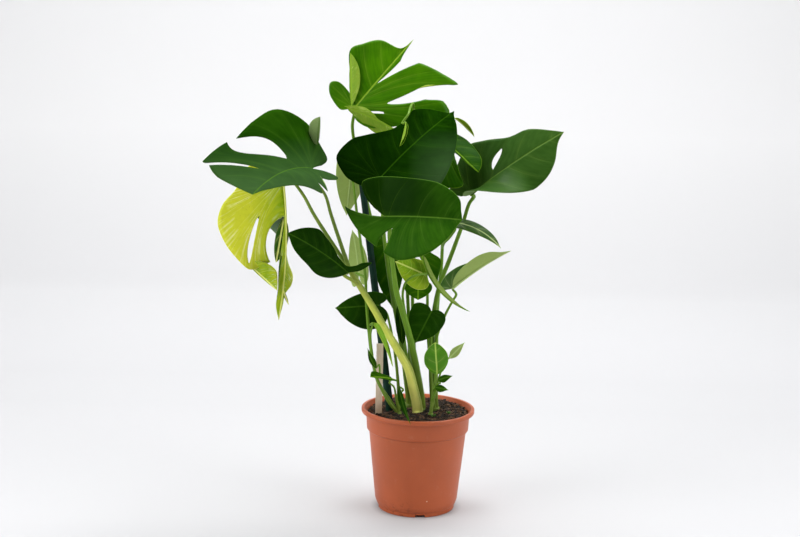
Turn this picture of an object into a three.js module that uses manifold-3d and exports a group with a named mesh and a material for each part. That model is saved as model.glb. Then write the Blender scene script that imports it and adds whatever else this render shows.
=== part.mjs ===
// A potted monstera: plastic nursery pot, peat, green stake, label stick, leaf stalks and leaf blades.
// Millimetres and degrees, +Z up. The origin is the centre of the pot's underside.
// +X is the right of the front view, and the front looks towards +Y.

import * as THREE from "three";
import { mergeVertices } from "three/addons/utils/BufferGeometryUtils.js";
import Module from "manifold-3d";

const wasm = await Module();
wasm.setup();

// Pot: a 21 cm nursery pot, outside and inside profiles as [radius, height]
const RIM_HEIGHT = 190;
const FLOOR_HEIGHT = 8;
const POT_OUTSIDE = [
  [0, 0], [70.5, 0], [71.5, 1], [71.5, 8], [74, 9.5], [77, 18], [90.5, 148], [94.5, 150.5], [96.5, 182],
  [104, 182], [105, 183], [105, 189], [104, RIM_HEIGHT], [99, RIM_HEIGHT], [98, 188],
];
const POT_INSIDE = [[94, 182], [91.9, 152.5], [88.1, 148], [74.6, 18], [71.5, 12], [69, FLOOR_HEIGHT]];
const POT_SIDES = 40;
const DRAIN_CHANNELS = 4;
const DRAIN_WIDTH = 18;
const DRAIN_HEIGHT = 5;
const DRAIN_INNER = 34;
const DRAIN_TURN = -84;

// Peat
const PEAT_HEIGHT = 185;
const PEAT_BUMP = 4;
const PEAT_EDGE = 180;
const GAP = 0.3;

// Stake and label stick
const STAKE_RADII = [8.3, 6];
const STAKE_FOOT = [-33.6, -26.4, 60];
const STAKE_TOP = [-114, 5, 625];
const LABEL_WIDTH = 12.5;
const LABEL_THICKNESS = 2;
const LABEL_FOOT = [-72.5, -40, 158];
const LABEL_TOP = 318;

// Blades and stalks
const BLADE_THICKNESS = 0.8;
const HEART_COLUMNS = 6;
const LARGE_ROWS = 6;
const SMALL_ROWS = 3;
const STALK_SIDES = 6;
const STALK_STEP = 34;
const KNEE = 11;
const STALK_GAP = 0.5;
const STUB_FOOT = 120;
const STUB_TOP = 190;

const TERRACOTTA = 0xb05a37;
const PEAT = 0x2b2018;
const STAKE_GREEN = 0x1f4a3c;
const PALE_WOOD = 0xd9cbb2;
const LEAF_DARK = 0x1f4712;
const LEAF_BRIGHT = 0x4c8a0c;
const LEAF_LIME = 0xa9b51c;
const LEAF_PALE = 0x7f9d4a;
const STALK_GREEN = 0x5f8a30;
const STALK_YELLOW = 0xa9b545;

const object = new THREE.Group();

function vector(point) {
  return new THREE.Vector3(...point);
}

function addMesh(name, geometry, color, roughness) {
  const material = new THREE.MeshStandardMaterial({ color, roughness, metalness: 0 });
  const mesh = new THREE.Mesh(geometry, material);
  mesh.name = name;
  object.add(mesh);
  return mesh;
}

// ---- Joining and cutting closed meshes ----

function toSolid(geometry) {
  const bare = geometry.clone();
  bare.deleteAttribute("normal");
  bare.deleteAttribute("uv");
  const merged = mergeVertices(bare, 1e-4);
  return new wasm.Manifold(new wasm.Mesh({
    numProp: 3,
    vertProperties: new Float32Array(merged.attributes.position.array),
    triVerts: new Uint32Array(merged.index.array),
  }));
}

function toGeometry(solid) {
  const mesh = solid.getMesh();
  const geometry = new THREE.BufferGeometry();
  geometry.setAttribute("position", new THREE.BufferAttribute(mesh.vertProperties, 3));
  geometry.setIndex(new THREE.BufferAttribute(mesh.triVerts, 1));
  return geometry;
}

function indexed(points, triangles) {
  const geometry = new THREE.BufferGeometry();
  const flat = points.flatMap((point) => point.toArray());
  geometry.setAttribute("position", new THREE.Float32BufferAttribute(flat, 3));
  geometry.setIndex(triangles.flat());
  return geometry;
}

// ---- Leaf blades ----

// Half of a heart-shaped margin, from the stalk joint round the back lobe to the tip.
// The first number runs along the midrib (0 joint, 1 tip), the second from the midrib to the widest margin.
// A third number says where the vein to that point leaves the midrib, and a fourth how much it bows.
const HEART = [
  [0, 0], [-0.12, 0.1], [-0.24, 0.38], [-0.19, 0.77], [0.07, 1],
  [0.37, 0.94], [0.64, 0.68], [0.84, 0.34], [0.94, 0.1], [1, 0],
];
// Half of an oval margin, as on the youngest leaves.
const OVAL = [[0, 0], [0.03, 0.25], [0.14, 0.66], [0.36, 1], [0.64, 0.94], [0.87, 0.5], [1, 0]];
// Half of a rolled new leaf, thick near the stalk and thin towards its tail.
const ROLLED = [[0, 0], [0.04, 0.6], [0.15, 1], [0.35, 0.95], [0.6, 0.6], [0.8, 0.3], [1, 0]];
// Half of a lance-shaped margin with a drawn-out tip.
const LANCE = [
  [0, 0], [0.08, 0.35], [0.25, 0.88], [0.42, 1], [0.62, 0.75], [0.8, 0.36], [0.92, 0.11], [1, 0],
];
const VEIN_LEAN = 0.28;
const LAST_VEIN_START = 0.95;
const VEIN_BOW = 0.07;
const VEIN_BOW_START = 0.3;
const MIDRIB_STEP = 0.025;
const MIDRIB_BACK = -0.65;
const MIDRIB_END = 1.05;
const FOLD_START = -0.25;
const FLAT_BEND = 1e-9;
// A plain column stays this far from a split, in widths of a column.
const COLUMN_CLEAR = 0.2;
// How much the corners beside a split are rounded off, and how far from the split that begins.
const CORNER_CUT = 0.07;
const CORNER_REACH = 0.035;
const HOLE_ROUNDNESS = 0.7;
const SLIT_TAPER = 0.55;
const SAME_PLACE = 0.01;

function clamp01(value) {
  return Math.min(1, Math.max(0, value));
}

// The midrib as a bent line in the plane of its chord and the blade's upper side.
function midribOf(leaf) {
  const arch = THREE.MathUtils.degToRad(leaf.arch ?? 20);
  const backBend = THREE.MathUtils.degToRad(leaf.backBend ?? 20);
  const slope = (u) => (u < 0 ? backBend * -u * 2 : -arch * u);
  const samples = [];
  let x = 0;
  let z = 0;
  for (let i = 0; i * MIDRIB_STEP <= MIDRIB_END; i += 1) {
    samples.push({ u: i * MIDRIB_STEP, x, z, slope: slope(i * MIDRIB_STEP) });
    const middle = slope((i + 0.5) * MIDRIB_STEP);
    x += Math.cos(middle) * MIDRIB_STEP;
    z += Math.sin(middle) * MIDRIB_STEP;
  }
  x = 0;
  z = 0;
  for (let i = 0; i * MIDRIB_STEP > MIDRIB_BACK; i -= 1) {
    const middle = slope((i - 0.5) * MIDRIB_STEP);
    x -= Math.cos(middle) * MIDRIB_STEP;
    z -= Math.sin(middle) * MIDRIB_STEP;
    samples.unshift({ u: (i - 1) * MIDRIB_STEP, x, z, slope: slope((i - 1) * MIDRIB_STEP) });
  }
  return samples;
}

function interpolate(samples, u) {
  const place = (u - samples[0].u) / MIDRIB_STEP;
  const i = Math.max(0, Math.min(samples.length - 2, Math.floor(place)));
  const t = place - i;
  const mix = (key) => samples[i][key] * (1 - t) + samples[i + 1][key] * t;
  return { x: mix("x"), z: mix("z"), slope: mix("slope") };
}

// A half may fold by one angle, or by a list of angles from the back lobe to the tip.
function foldAt(fold, u) {
  if (!Array.isArray(fold)) return fold;
  const place = clamp01((u - FOLD_START) / (1 - FOLD_START)) * (fold.length - 1);
  const i = Math.min(fold.length - 2, Math.floor(place));
  return fold[i] + (fold[i + 1] - fold[i]) * (place - i);
}

// Puts flat leaf points in space: along the arched midrib, then across each half, which folds and cups.
function bladeShape(leaf) {
  const base = vector(leaf.base);
  const chord = vector(leaf.tip).sub(base);
  const samples = midribOf(leaf);
  const end = interpolate(samples, 1);
  const length = chord.length() / Math.hypot(end.x, end.z);
  const tilt = Math.atan2(end.z, end.x);
  const along = chord.clone().normalize();
  const face = vector(leaf.face);
  const up = face.sub(along.clone().multiplyScalar(face.dot(along))).normalize();
  const across = up.clone().cross(along);
  const place = (u, v, half, lift = 0) => {
    const rib = interpolate(samples, u / length);
    const x = (rib.x * Math.cos(tilt) + rib.z * Math.sin(tilt)) * length;
    const z = (rib.z * Math.cos(tilt) - rib.x * Math.sin(tilt)) * length;
    const slope = rib.slope - tilt;
    const fold = THREE.MathUtils.degToRad(foldAt(half.fold ?? 0, u / length));
    const bend = THREE.MathUtils.degToRad(half.cup ?? 0) / half.width;
    const reach = Math.abs(v);
    const isFlat = Math.abs(bend) < FLAT_BEND;
    const turned = fold + bend * reach;
    const y = isFlat ? reach * Math.cos(fold) : (Math.sin(turned) - Math.sin(fold)) / bend;
    const height = isFlat ? reach * Math.sin(fold) : (Math.cos(fold) - Math.cos(turned)) / bend;
    const rise = height + lift;
    return base.clone()
      .addScaledVector(along, x - Math.sin(slope) * rise)
      .addScaledVector(across, Math.sign(v) * y)
      .addScaledVector(up, z + Math.cos(slope) * rise);
  };
  return { length, place };
}

// The columns of one half: one line of points for each vein-like line from the midrib to the margin.
// A split or a hole has two columns, which part from where it starts.
function columnsOf(splits, count) {
  const columns = [];
  for (let k = 1; k <= count; k += 1) {
    if (splits.every((split) => Math.abs(k / count - split.at) > split.gap / 2 + COLUMN_CLEAR / count)) {
      columns.push({ at: k / count });
    }
  }
  for (const split of splits) {
    columns.push({ at: split.at, side: -1, split }, { at: split.at, side: 1, split });
  }
  return columns.sort((a, b) => a.at - b.at || a.side - b.side);
}

// How far a column reaches towards the margin: lobes have rounded corners beside each split.
function reachOf(column, splits) {
  let reach = 1;
  for (const split of splits.filter((each) => (each.to ?? 1) >= 1)) {
    const away = column.split === split ? 0 : Math.abs(column.at - split.at) / CORNER_REACH;
    reach = Math.min(reach, 1 - CORNER_CUT * Math.max(0, 1 - away) ** 2);
  }
  return reach;
}

function rowsOf(column, splits, rows) {
  const knots = [[0, 0]];
  if (column.split) {
    const start = Math.min(rows - 1, Math.max(1, Math.round(column.split.from * rows)));
    knots.push([start, column.split.from]);
    const to = column.split.to ?? 1;
    if (to < 1) knots.push([Math.min(rows - 1, Math.max(start + 1, Math.round(to * rows))), to]);
  }
  knots.push([rows, reachOf(column, splits)]);
  const values = [];
  for (let k = 0; k < knots.length - 1; k += 1) {
    const [startRow, startValue] = knots[k];
    const [endRow, endValue] = knots[k + 1];
    for (let row = startRow + (k ? 1 : 0); row <= endRow; row += 1) {
      values.push(startValue + ((endValue - startValue) * (row - startRow)) / (endRow - startRow));
    }
  }
  return values;
}

// Half the width of a split's opening where the column is s of the way out.
// The mouth says how far it is open at the margin, as a part of its gap: 0 for a hole.
function openingOf(split, s) {
  const to = split.to ?? 1;
  if (s <= split.from || (to < 1 && s >= to)) return 0;
  const t = (s - split.from) / (to - split.from);
  const mouth = split.mouth ?? (to < 1 ? 0 : 1);
  const rounded = (1 - mouth) * Math.sin(Math.PI * t) ** HOLE_ROUNDNESS;
  return (split.gap / 2) * (rounded + mouth * t ** SLIT_TAPER);
}

// The margin as a smooth line, with the vein that runs to each of its points.
function marginOf(margin) {
  const line = new THREE.SplineCurve(margin.map(([u, v]) => new THREE.Vector2(u, v)));
  const last = margin.length - 1;
  const starts = [];
  for (const [u, v, from] of margin) {
    const start = Math.min(LAST_VEIN_START, Math.max(0, from ?? u - VEIN_LEAN * v));
    starts.push(Math.max(start, starts.at(-1) ?? 0));
  }
  starts[last] = 1;
  const past = (i) => clamp01((i / last - VEIN_BOW_START) / (1 - VEIN_BOW_START));
  const bows = margin.map((point, i) => point[3] ?? VEIN_BOW * Math.sin(Math.PI * past(i)));
  return (at) => {
    const i = Math.min(last - 1, Math.floor(at * last));
    const t = at * last - i;
    const mix = (values) => values[i] + (values[i + 1] - values[i]) * t;
    return { edge: line.getPoint(at), start: mix(starts), bow: mix(bows) };
  };
}

function bladePoint(half, margin, length, side, column, s) {
  const at = clamp01(column.at + (column.split ? column.side * openingOf(column.split, s) : 0));
  const vein = margin(at);
  const { edge } = vein;
  const start = vein.start * length;
  const out = { u: edge.x * (edge.x < 0 ? half.back ?? 1 : 1) * length - start, v: edge.y * half.width };
  const bow = vein.bow * 4 * s * (1 - s);
  const u = start + out.u * s - out.v * bow;
  const v = out.v * s + out.u * bow;
  return { u, v: side * v };
}

// The two halves share the points of the midrib, where veins of either side leave it.
function blade(leaf, rows) {
  const shape = bladeShape(leaf);
  const points = [];
  const triangles = [];
  const found = new Map();
  const pointAt = (half, { u, v }) => {
    const key = `${Math.round(u * 100)},${Math.round(v * 100) + 0}`;
    if (!found.has(key)) {
      found.set(key, points.length);
      points.push(shape.place(u, v, half));
    }
    return found.get(key);
  };
  const halves = [[leaf.left, 1], [leaf.right, -1]].map(([half, side]) => {
    const splits = half.splits ?? [];
    const margin = marginOf(half.margin ?? HEART);
    const columns = columnsOf(splits, half.margin ? half.margin.length - 1 : HEART_COLUMNS);
    const lines = columns.map((column) => ({
      column,
      flat: rowsOf(column, splits, rows)
        .map((s) => bladePoint(half, margin, shape.length, side, column, s)),
    }));
    return { half, side, lines };
  });
  const ribs = new Map();
  for (const { half, lines } of halves) {
    for (const { flat } of lines) ribs.set(pointAt(half, flat[0]), flat[0].u);
  }
  const ribPoints = [...ribs].map(([id, u]) => ({ id, u })).sort((a, b) => a.u - b.u);
  for (const { half, side, lines } of halves) {
    const addTriangle = (a, b, c) => {
      if (a === b || b === c || c === a) return;
      triangles.push(side > 0 ? [a, c, b] : [a, b, c]);
    };
    const ids = lines.map(({ flat }) => flat.map((point) => pointAt(half, point)));
    for (let i = 0; i < lines.length - 1; i += 1) {
      const { column, flat } = lines[i];
      if (column.split && column.side < 0) continue;
      const [here, next] = [ids[i], ids[i + 1]];
      const [from, to] = [flat[0].u + SAME_PLACE, lines[i + 1].flat[0].u - SAME_PLACE];
      const between = ribPoints.filter(({ u }) => u > from && u < to);
      const rib = [here[0], ...between.map(({ id }) => id), next[0]];
      for (let k = 0; k < rib.length - 1; k += 1) addTriangle(rib[k], here[1], rib[k + 1]);
      addTriangle(here[1], next[1], next[0]);
      for (let row = 1; row < rows; row += 1) {
        addTriangle(here[row], here[row + 1], next[row + 1]);
        addTriangle(here[row], next[row + 1], next[row]);
      }
    }
  }
  return thicken(points, triangles);
}

// Gives an open sheet its thickness: the same triangles on both faces and a wall round each edge.
function thicken(points, triangles) {
  const normals = points.map(() => new THREE.Vector3());
  const open = new Map();
  for (const triangle of triangles) {
    const [a, b, c] = triangle.map((id) => points[id]);
    const normal = b.clone().sub(a).cross(c.clone().sub(a));
    for (let k = 0; k < 3; k += 1) {
      normals[triangle[k]].add(normal);
      const [from, to] = [triangle[k], triangle[(k + 1) % 3]];
      if (!open.delete(`${to},${from}`)) open.set(`${from},${to}`, [from, to]);
    }
  }
  const count = points.length;
  normals.forEach((normal) => normal.normalize().multiplyScalar(BLADE_THICKNESS / 2));
  const both = [
    ...points.map((point, id) => point.clone().add(normals[id])),
    ...points.map((point, id) => point.clone().sub(normals[id])),
  ];
  const all = triangles.flatMap(([a, b, c]) => [[a, b, c], [c + count, b + count, a + count]]);
  for (const [from, to] of open.values()) {
    all.push([to, from, from + count], [to, from + count, to + count]);
  }
  return indexed(both, all);
}

// A whole leaf: its blade, and the lobes of its margin that turn over, each a small blade grown into it.
function leafGeometry(leaf) {
  const isLarge = leaf.right.margin?.length > OVAL.length;
  const main = blade(leaf, isLarge ? LARGE_ROWS : SMALL_ROWS);
  if (!leaf.lobes) return main;
  const lobes = leaf.lobes.map((lobe) => toSolid(blade(lobe, SMALL_ROWS)));
  return toGeometry(wasm.Manifold.union([toSolid(main), ...lobes]));
}

// ---- Every leaf, from the large ones down ----
// base: where the stalk meets the blade. tip: the end of the midrib. face: where the upper side looks.
// left and right are seen from the stalk towards the tip with the upper side up.
// lobes: flaps and strips that grow out of the same blade and turn another way.

const LEAVES = {
  leaf_left_large: {
    base: [-198, -60, 635], tip: [-278, -280, 610], face: [-0.15, -0.2, 1], color: LEAF_DARK, arch: 30,
    left: {
      width: 62, fold: -5, cup: -45, back: 0.75,
      margin: [
        [0, 0], [-0.12, 0.1], [-0.22, 0.35], [-0.2, 0.6], [-0.05, 0.78], [0.15, 0.86],
        [0.27, 0.84, 0.1], [0.33, 1.25, 0.2], [0.37, 0.88, 0.25], [0.43, 1.22, 0.3], [0.55, 0.97, 0.4],
        [0.66, 0.72], [0.84, 0.36], [0.94, 0.1], [1, 0],
      ],
    },
    right: {
      width: 125, fold: [75, 60, 40, 25, 10], cup: -15,
      margin: [
        [0, 0], [-0.2, 0.12], [-0.36, 0.34], [-0.27, 0.53], [-0.2, 0.8], [-0.02, 1.04],
        [0.22, 0.98, 0.08, 0.03], [0.44, 0.96, 0.16, 0], [0.48, 0.99, 0.3, 0], [0.73, 0.98, 0.5, 0],
        [0.76, 0.93, 0.62, 0], [0.85, 0.64, 0.75], [0.95, 0.2, 0.9], [1, 0, 0.95],
      ],
      splits: [{ at: 0.577, from: 0.2, gap: 0.17, mouth: 0.25 }, { at: 0.75, from: 0.25, gap: 0.05 }],
    },
    lobes: [
      {
        base: [-193, 4, 673], tip: [-188, -8, 725], face: [0.2, 0.9, 0.3], arch: -30,
        left: { width: 3, fold: 0, cup: 0, margin: OVAL },
        right: { width: 25, fold: 0, cup: 60, margin: OVAL },
      },
    ],
  },
  leaf_left_hanging: {
    base: [-253, -25, 613], tip: [-255, -60, 361], face: [-1, 0.3, 0], color: LEAF_LIME, arch: -18,
    left: {
      width: 120, fold: 65, cup: 10,
      margin: [
        [0, 0], [-0.1, 0.2], [-0.1, 0.5], [0.05, 0.75], [0.15, 0.93], [0.3, 1.0, 0], [0.46, 0.9, 0],
        [0.57, 0.76, 0], [0.65, 0.58, 0, 0.12], [0.65, 0.42, 0.04, 0.12], [0.62, 0.18, 0.2],
        [0.56, 0.05, 0.29], [0.7, 0.1, 0.4], [0.8, 0.08, 0.5], [0.9, 0.07, 0.7], [1, 0],
      ],
      splits: [
        { at: 0.547, from: 0.42, to: 0.95, gap: 0.055 },
        { at: 0.7, from: 0.08, gap: 0.15, mouth: 0.3 },
      ],
    },
    right: {
      width: 110, fold: [55, 55, 50, 20, -10, -10], cup: 10,
      margin: [
        [0, 0], [-0.1, 0.2], [-0.15, 0.6], [0, 0.9], [0.2, 0.95], [0.35, 0.75], [0.46, 0.45],
        [0.58, 0.34], [0.67, 0.4], [0.75, 0.22], [0.81, 0.06], [0.9, 0.05], [1, 0],
      ],
    },
    lobes: [
      {
        base: [-250, -32, 543], tip: [-262, -48, 464], face: [0.1, -1, 0.1], arch: 10,
        left: { width: 15, fold: 0, cup: -30, margin: OVAL },
        right: { width: 9, fold: 0, cup: -20, margin: OVAL },
      },
      {
        base: [-313, -50, 462], tip: [-258, -60, 415], face: [-0.3, 0.8, 0.6], arch: 10,
        left: { width: 3, fold: 0, cup: 0, margin: OVAL },
        right: {
          width: 27, fold: 0, cup: 20,
          margin: [[0, 0], [0.1, 0.5], [0.35, 0.9], [0.65, 1], [0.85, 0.5], [1, 0]],
        },
      },
      {
        base: [-248, -55, 416], tip: [-238, -52, 388], face: [0.3, -1, 0.3], arch: -25,
        left: { width: 2.4, fold: 0, cup: 0, margin: OVAL },
        right: { width: 2.4, fold: 0, cup: 0, margin: OVAL },
      },
    ],
  },
  leaf_crown: {
    base: [-129, 50, 739], tip: [-23, 75, 866], face: [0, -0.95, 0.3], color: LEAF_BRIGHT, arch: 10,
    left: {
      width: 70, fold: 5, cup: 0,
      margin: [
        [0, 0], [-0.06, 0.12, 0], [-0.11, 0.3, 0], [-0.06, 0.72, 0], [0.04, 0.92, 0], [0.11, 0.75, 0],
        [0.1, 0.4, 0], [0.05, 0.13, 0], [0.11, 0.2, 0.03], [0.21, 0.51, 0.06], [0.44, 1.06, 0.15],
        [0.61, 0.91, 0.3], [0.76, 0.63, 0.5], [0.83, 0.1, 0.75], [1, 0],
      ],
    },
    right: {
      width: 120, fold: 5, cup: -10,
      margin: [
        [0, 0], [-0.06, 0.06, 0], [-0.09, 0.2, 0], [-0.04, 0.42, 0], [0.15, 0.69, 0, 0],
        [0.43, 1.03, 0, 0.02], [0.61, 1.19, 0.02, 0.03], [0.68, 0.98, 0.03, 0.05], [0.62, 0.78, 0.04, 0.07],
        [0.72, 0.62, 0.06, 0.06], [0.93, 0.98, 0.1, -0.08], [0.9, 0.6, 0.18, -0.05],
        [0.87, 0.32, 0.26, -0.02], [0.74, 0.09, 0.34, 0], [1, 0],
      ],
      splits: [{ at: 0.6, from: 0.42, gap: 0.075 }, { at: 0.893, from: 0.14, gap: 0.085 }],
    },
    lobes: [
      {
        base: [-147, 30, 743], tip: [-47, 22, 700], face: [0, 0.85, 0.53], arch: 15,
        left: {
          width: 31, fold: 0, cup: 20,
          margin: [
            [0, 0], [0.1, 0.2], [0.22, 0.41], [0.4, 0.66], [0.62, 0.99], [0.75, 0.8], [0.87, 0.5], [1, 0],
          ],
        },
        right: {
          width: 12, fold: 10, cup: 30,
          margin: [[0, 0], [0.08, 0.4], [0.3, 1], [0.5, 0.7], [0.6, 0.25], [0.8, 0.1], [1, 0]],
        },
      },
      {
        base: [-134, 48, 742], tip: [-138, 60, 839], face: [0.45, 0.9, 0], arch: 5,
        left: {
          width: 17, fold: 0, cup: 30,
          margin: [[0, 0], [0.1, 0.35], [0.3, 0.8], [0.5, 1], [0.7, 0.9], [0.88, 0.5], [1, 0]],
        },
        right: { width: 4, fold: 0, cup: 0, margin: OVAL },
      },
    ],
  },
  leaf_front_upper: {
    base: [-77, -75, 623], tip: [53, 12, 739], face: [-0.1, -0.8, 0.6], color: LEAF_DARK, arch: 25,
    left: {
      width: 85, fold: 5, cup: -20,
      margin: [
        [0, 0], [-0.14, 0.12], [-0.18, 0.5], [-0.16, 0.8], [-0.07, 1.18], [0.14, 1.2], [0.26, 1],
        [0.45, 0.62], [0.62, 0.58], [0.74, 0.62], [0.84, 0.44], [0.94, 0.06], [1, 0],
      ],
    },
    right: { width: 100, fold: 16, cup: -20 },
  },
  leaf_front_lower: {
    base: [-66, -135, 562], tip: [64, -185, 565], face: [0, -0.9, 0.42], color: LEAF_DARK, arch: 20,
    backBend: -85,
    left: {
      width: 68, fold: 22, cup: -10,
      margin: [
        [0, 0], [-0.16, 0.2], [-0.36, 0.5], [-0.47, 0.78], [-0.15, 1.0], [0.32, 0.97], [0.68, 0.87],
        [0.93, 0.55], [0.98, 0.2], [1, 0],
      ],
    },
    right: {
      width: 82, fold: 16, cup: -20,
      margin: [
        [0, 0], [-0.2, 0], [-0.5, 0.01], [-0.62, 0.08], [-0.34, 0.44], [-0.06, 0.74, 0.18],
        [0.1, 0.92, 0.3], [0.3, 1.0, 0.36], [0.5, 0.95, 0.44], [0.7, 0.8], [0.86, 0.5], [0.96, 0.14], [1, 0],
      ],
      splits: [{ at: 0.464, from: 0.36, gap: 0.085, mouth: 0.4 }],
    },
  },
  leaf_right_large: {
    base: [86, -25, 592], tip: [248, -30, 708], face: [0.1, -0.7, 0.7], color: LEAF_DARK, arch: 20,
    left: {
      width: 90, fold: 0, cup: -10,
      margin: [
        [0, 0], [-0.09, 0.12], [-0.14, 0.42], [0.03, 0.78], [0.2, 1.03], [0.36, 0.86, 0.12],
        [0.53, 0.62, 0.2], [0.62, 0.56, 0.26], [0.75, 0.48, 0.5], [0.92, 0.16], [1, 0],
      ],
      splits: [{ at: 0.65, from: 0.2, to: 0.7, gap: 0.1 }],
    },
    right: {
      width: 70, fold: [85, 80, 40, 0, -5, -10], cup: -10,
      margin: [
        [0, 0], [-0.03, 0.1], [-0.04, 0.35], [0.04, 0.7], [0.2, 0.98], [0.45, 0.95],
        [0.65, 0.84], [0.78, 0.6], [0.9, 0.18], [1, 0],
      ],
    },
  },
  leaf_right_behind: {
    base: [27, 12, 693], tip: [97, -38, 633], face: [0.45, -0.85, 0.25], color: LEAF_BRIGHT, arch: 10,
    left: {
      width: 36, fold: 0, cup: -10,
      margin: [
        [0, 0], [-0.1, 0.3], [0, 0.7], [0.2, 0.92], [0.4, 1], [0.6, 0.95], [0.8, 0.75],
        [0.93, 0.4], [1, 0],
      ],
    },
    right: {
      width: 75, fold: 0, cup: -10,
      margin: [
        [0, 0], [0, 0.3, 0], [0.22, 0.6, 0], [0.5, 0.9, 0], [0.75, 1, 0.03], [0.95, 0.82, 0.1],
        [1.04, 0.54, 0.16], [0.87, 0.42, 0.22], [0.67, 0.27, 0.28], [0.45, 0.07, 0.34], [0.75, 0.04], [1, 0],
      ],
    },
  },
  leaf_back_pale: {
    base: [-132, 60, 643], tip: [-141, 50, 540], face: [0, 1, 0.2], color: LEAF_PALE, arch: 20,
    left: { width: 28, fold: 10, cup: -10 },
    right: { width: 28, fold: 10, cup: -10 },
  },
  leaf_left_middle: {
    base: [-131, -82, 454], tip: [-236, -108, 526], face: [-0.2, -0.6, 0.75], color: LEAF_DARK, arch: 25,
    left: {
      width: 42, fold: 0, cup: -20,
      margin: [
        [0, 0], [0.04, 0.22], [0.1, 0.46], [0.19, 0.74], [0.3, 0.92], [0.44, 0.98], [0.59, 0.87],
        [0.72, 0.73], [0.86, 0.5], [0.96, 0.18], [1, 0],
      ],
    },
    right: {
      width: 50, fold: [60, 55, 15, 0, 0, 0], cup: 0,
      margin: [
        [0, 0], [-0.08, 0.28], [-0.11, 0.66], [-0.1, 0.88], [-0.03, 0.62], [0.01, 0.34], [0.09, 0.15],
        [0.24, 0.25], [0.36, 0.46], [0.51, 0.68], [0.63, 0.8], [0.75, 0.69], [0.86, 0.48], [0.95, 0.2],
        [1, 0],
      ],
    },
  },
  leaf_left_edge: {
    base: [-114, 0, 437], tip: [-129, 30, 517], face: [0.3, 1, 0.2], color: LEAF_PALE, arch: 20,
    left: { width: 20, fold: 5, cup: 0 },
    right: { width: 20, fold: 5, cup: 0 },
  },
  leaf_left_low: {
    base: [-78, -33, 388], tip: [-155, -50, 384], face: [0.1, -1, 0.1], color: LEAF_DARK, arch: 20,
    left: { width: 45, fold: 0, cup: -20 },
    right: { width: 25, fold: 0, cup: -20 },
  },
  leaf_new_rolled: {
    base: [-84, -80, 364], tip: [-48, -88, 286], face: [0.5, -0.6, 0.4], color: LEAF_LIME, arch: 18,
    left: { width: 13, fold: 60, cup: 60, margin: ROLLED },
    right: { width: 13, fold: 60, cup: 60, margin: ROLLED },
  },
  leaf_left_small: {
    base: [-78, -80, 281], tip: [-94, -84, 319], face: [-0.6, -0.7, 0.3], color: LEAF_DARK, arch: 20,
    left: { width: 6, fold: 10, cup: 0, margin: LANCE },
    right: { width: 9, fold: 10, cup: 0, margin: LANCE },
  },
  leaf_left_tiny: {
    base: [-47, -66, 259], tip: [-88, -90, 267], face: [0, -0.7, 0.7], color: LEAF_DARK, arch: 20,
    left: { width: 4, fold: 0, cup: -20 },
    right: {
      width: 15, fold: 0, cup: -20,
      margin: [[0, 0], [0.1, 0.25], [0.4, 0.55], [0.66, 0.88], [0.82, 1], [0.93, 0.6], [1, 0]],
    },
  },
  leaf_right_round: {
    base: [20, -18, 375], tip: [-8, -37, 320], face: [0.1, -0.9, 0.3], color: LEAF_DARK, arch: 15,
    left: { width: 32, fold: 0, cup: -20, back: 0.6 },
    right: { width: 36, fold: 0, cup: -20, back: 0.5 },
  },
  leaf_young_round: {
    base: [33, -45, 264], tip: [27, -60, 327], face: [0, -0.95, 0.2], color: LEAF_BRIGHT, arch: 15,
    left: { width: 22, fold: 0, cup: -20, margin: OVAL },
    right: { width: 22, fold: 0, cup: -20, margin: OVAL },
  },
  leaf_young_behind: {
    base: [54, -20, 288], tip: [83, -20, 320], face: [0.4, 1, 0], color: LEAF_PALE, arch: 15,
    left: { width: 8, fold: 10, cup: -20, margin: LANCE },
    right: { width: 8, fold: 10, cup: -20, margin: LANCE },
  },
  leaf_young_small: {
    base: [34, -46, 253], tip: [61, -50, 263], face: [0, -0.7, 0.7], color: LEAF_DARK, arch: 15,
    left: { width: 8, fold: 0, cup: -20, margin: LANCE },
    right: { width: 8, fold: 0, cup: -20, margin: LANCE },
  },
  leaf_young_low: {
    base: [29, -45, 240], tip: [54, -50, 236], face: [0, -0.7, 0.7], color: LEAF_DARK, arch: 15,
    left: { width: 8, fold: 0, cup: -20, margin: LANCE },
    right: { width: 8, fold: 0, cup: -20, margin: LANCE },
  },
  leaf_right_folded: {
    base: [56, -35, 421], tip: [161, -35, 493], face: [-0.4, 0.3, 0.85], color: LEAF_PALE, arch: 15,
    left: {
      width: 38, fold: [60, 60, 60, 55, 50, 50], cup: 0,
      margin: [
        [0, 0], [-0.1, 0.25], [-0.11, 0.6], [0.02, 0.88], [0.2, 0.85], [0.4, 0.72],
        [0.6, 0.5], [0.8, 0.25], [1, 0],
      ],
    },
    right: {
      width: 22, fold: 68, cup: 0,
      margin: [[0, 0], [0.08, 0.45], [0.25, 0.85], [0.5, 1], [0.72, 0.75], [0.88, 0.25], [1, 0]],
    },
  },
  leaf_right_drooping: {
    base: [57, -30, 541], tip: [140, -66, 501], face: [0.1, -0.5, 1], color: LEAF_PALE, arch: 55,
    left: { width: 24, fold: 0, cup: -20 },
    right: { width: 15, fold: 0, cup: -20 },
  },
  leaf_centre_folded: {
    base: [1, -60, 485], tip: [87, -90, 390], face: [0.68, -0.3, 0.62], color: LEAF_BRIGHT, arch: -65,
    left: {
      width: 30, fold: 50, cup: 0,
      margin: [
        [0, 0], [-0.05, 0.3], [0.02, 0.7], [0.1, 0.97], [0.19, 1], [0.28, 0.75], [0.36, 0.4], [0.46, 0.16],
        [0.7, 0.1], [1, 0],
      ],
    },
    right: {
      width: 10, fold: 75, cup: 0,
      margin: [[0, 0], [0.03, 0.5], [0.15, 0.9], [0.45, 1], [0.7, 0.8], [0.85, 0.4], [1, 0]],
    },
  },
  leaf_centre_lime: {
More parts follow.
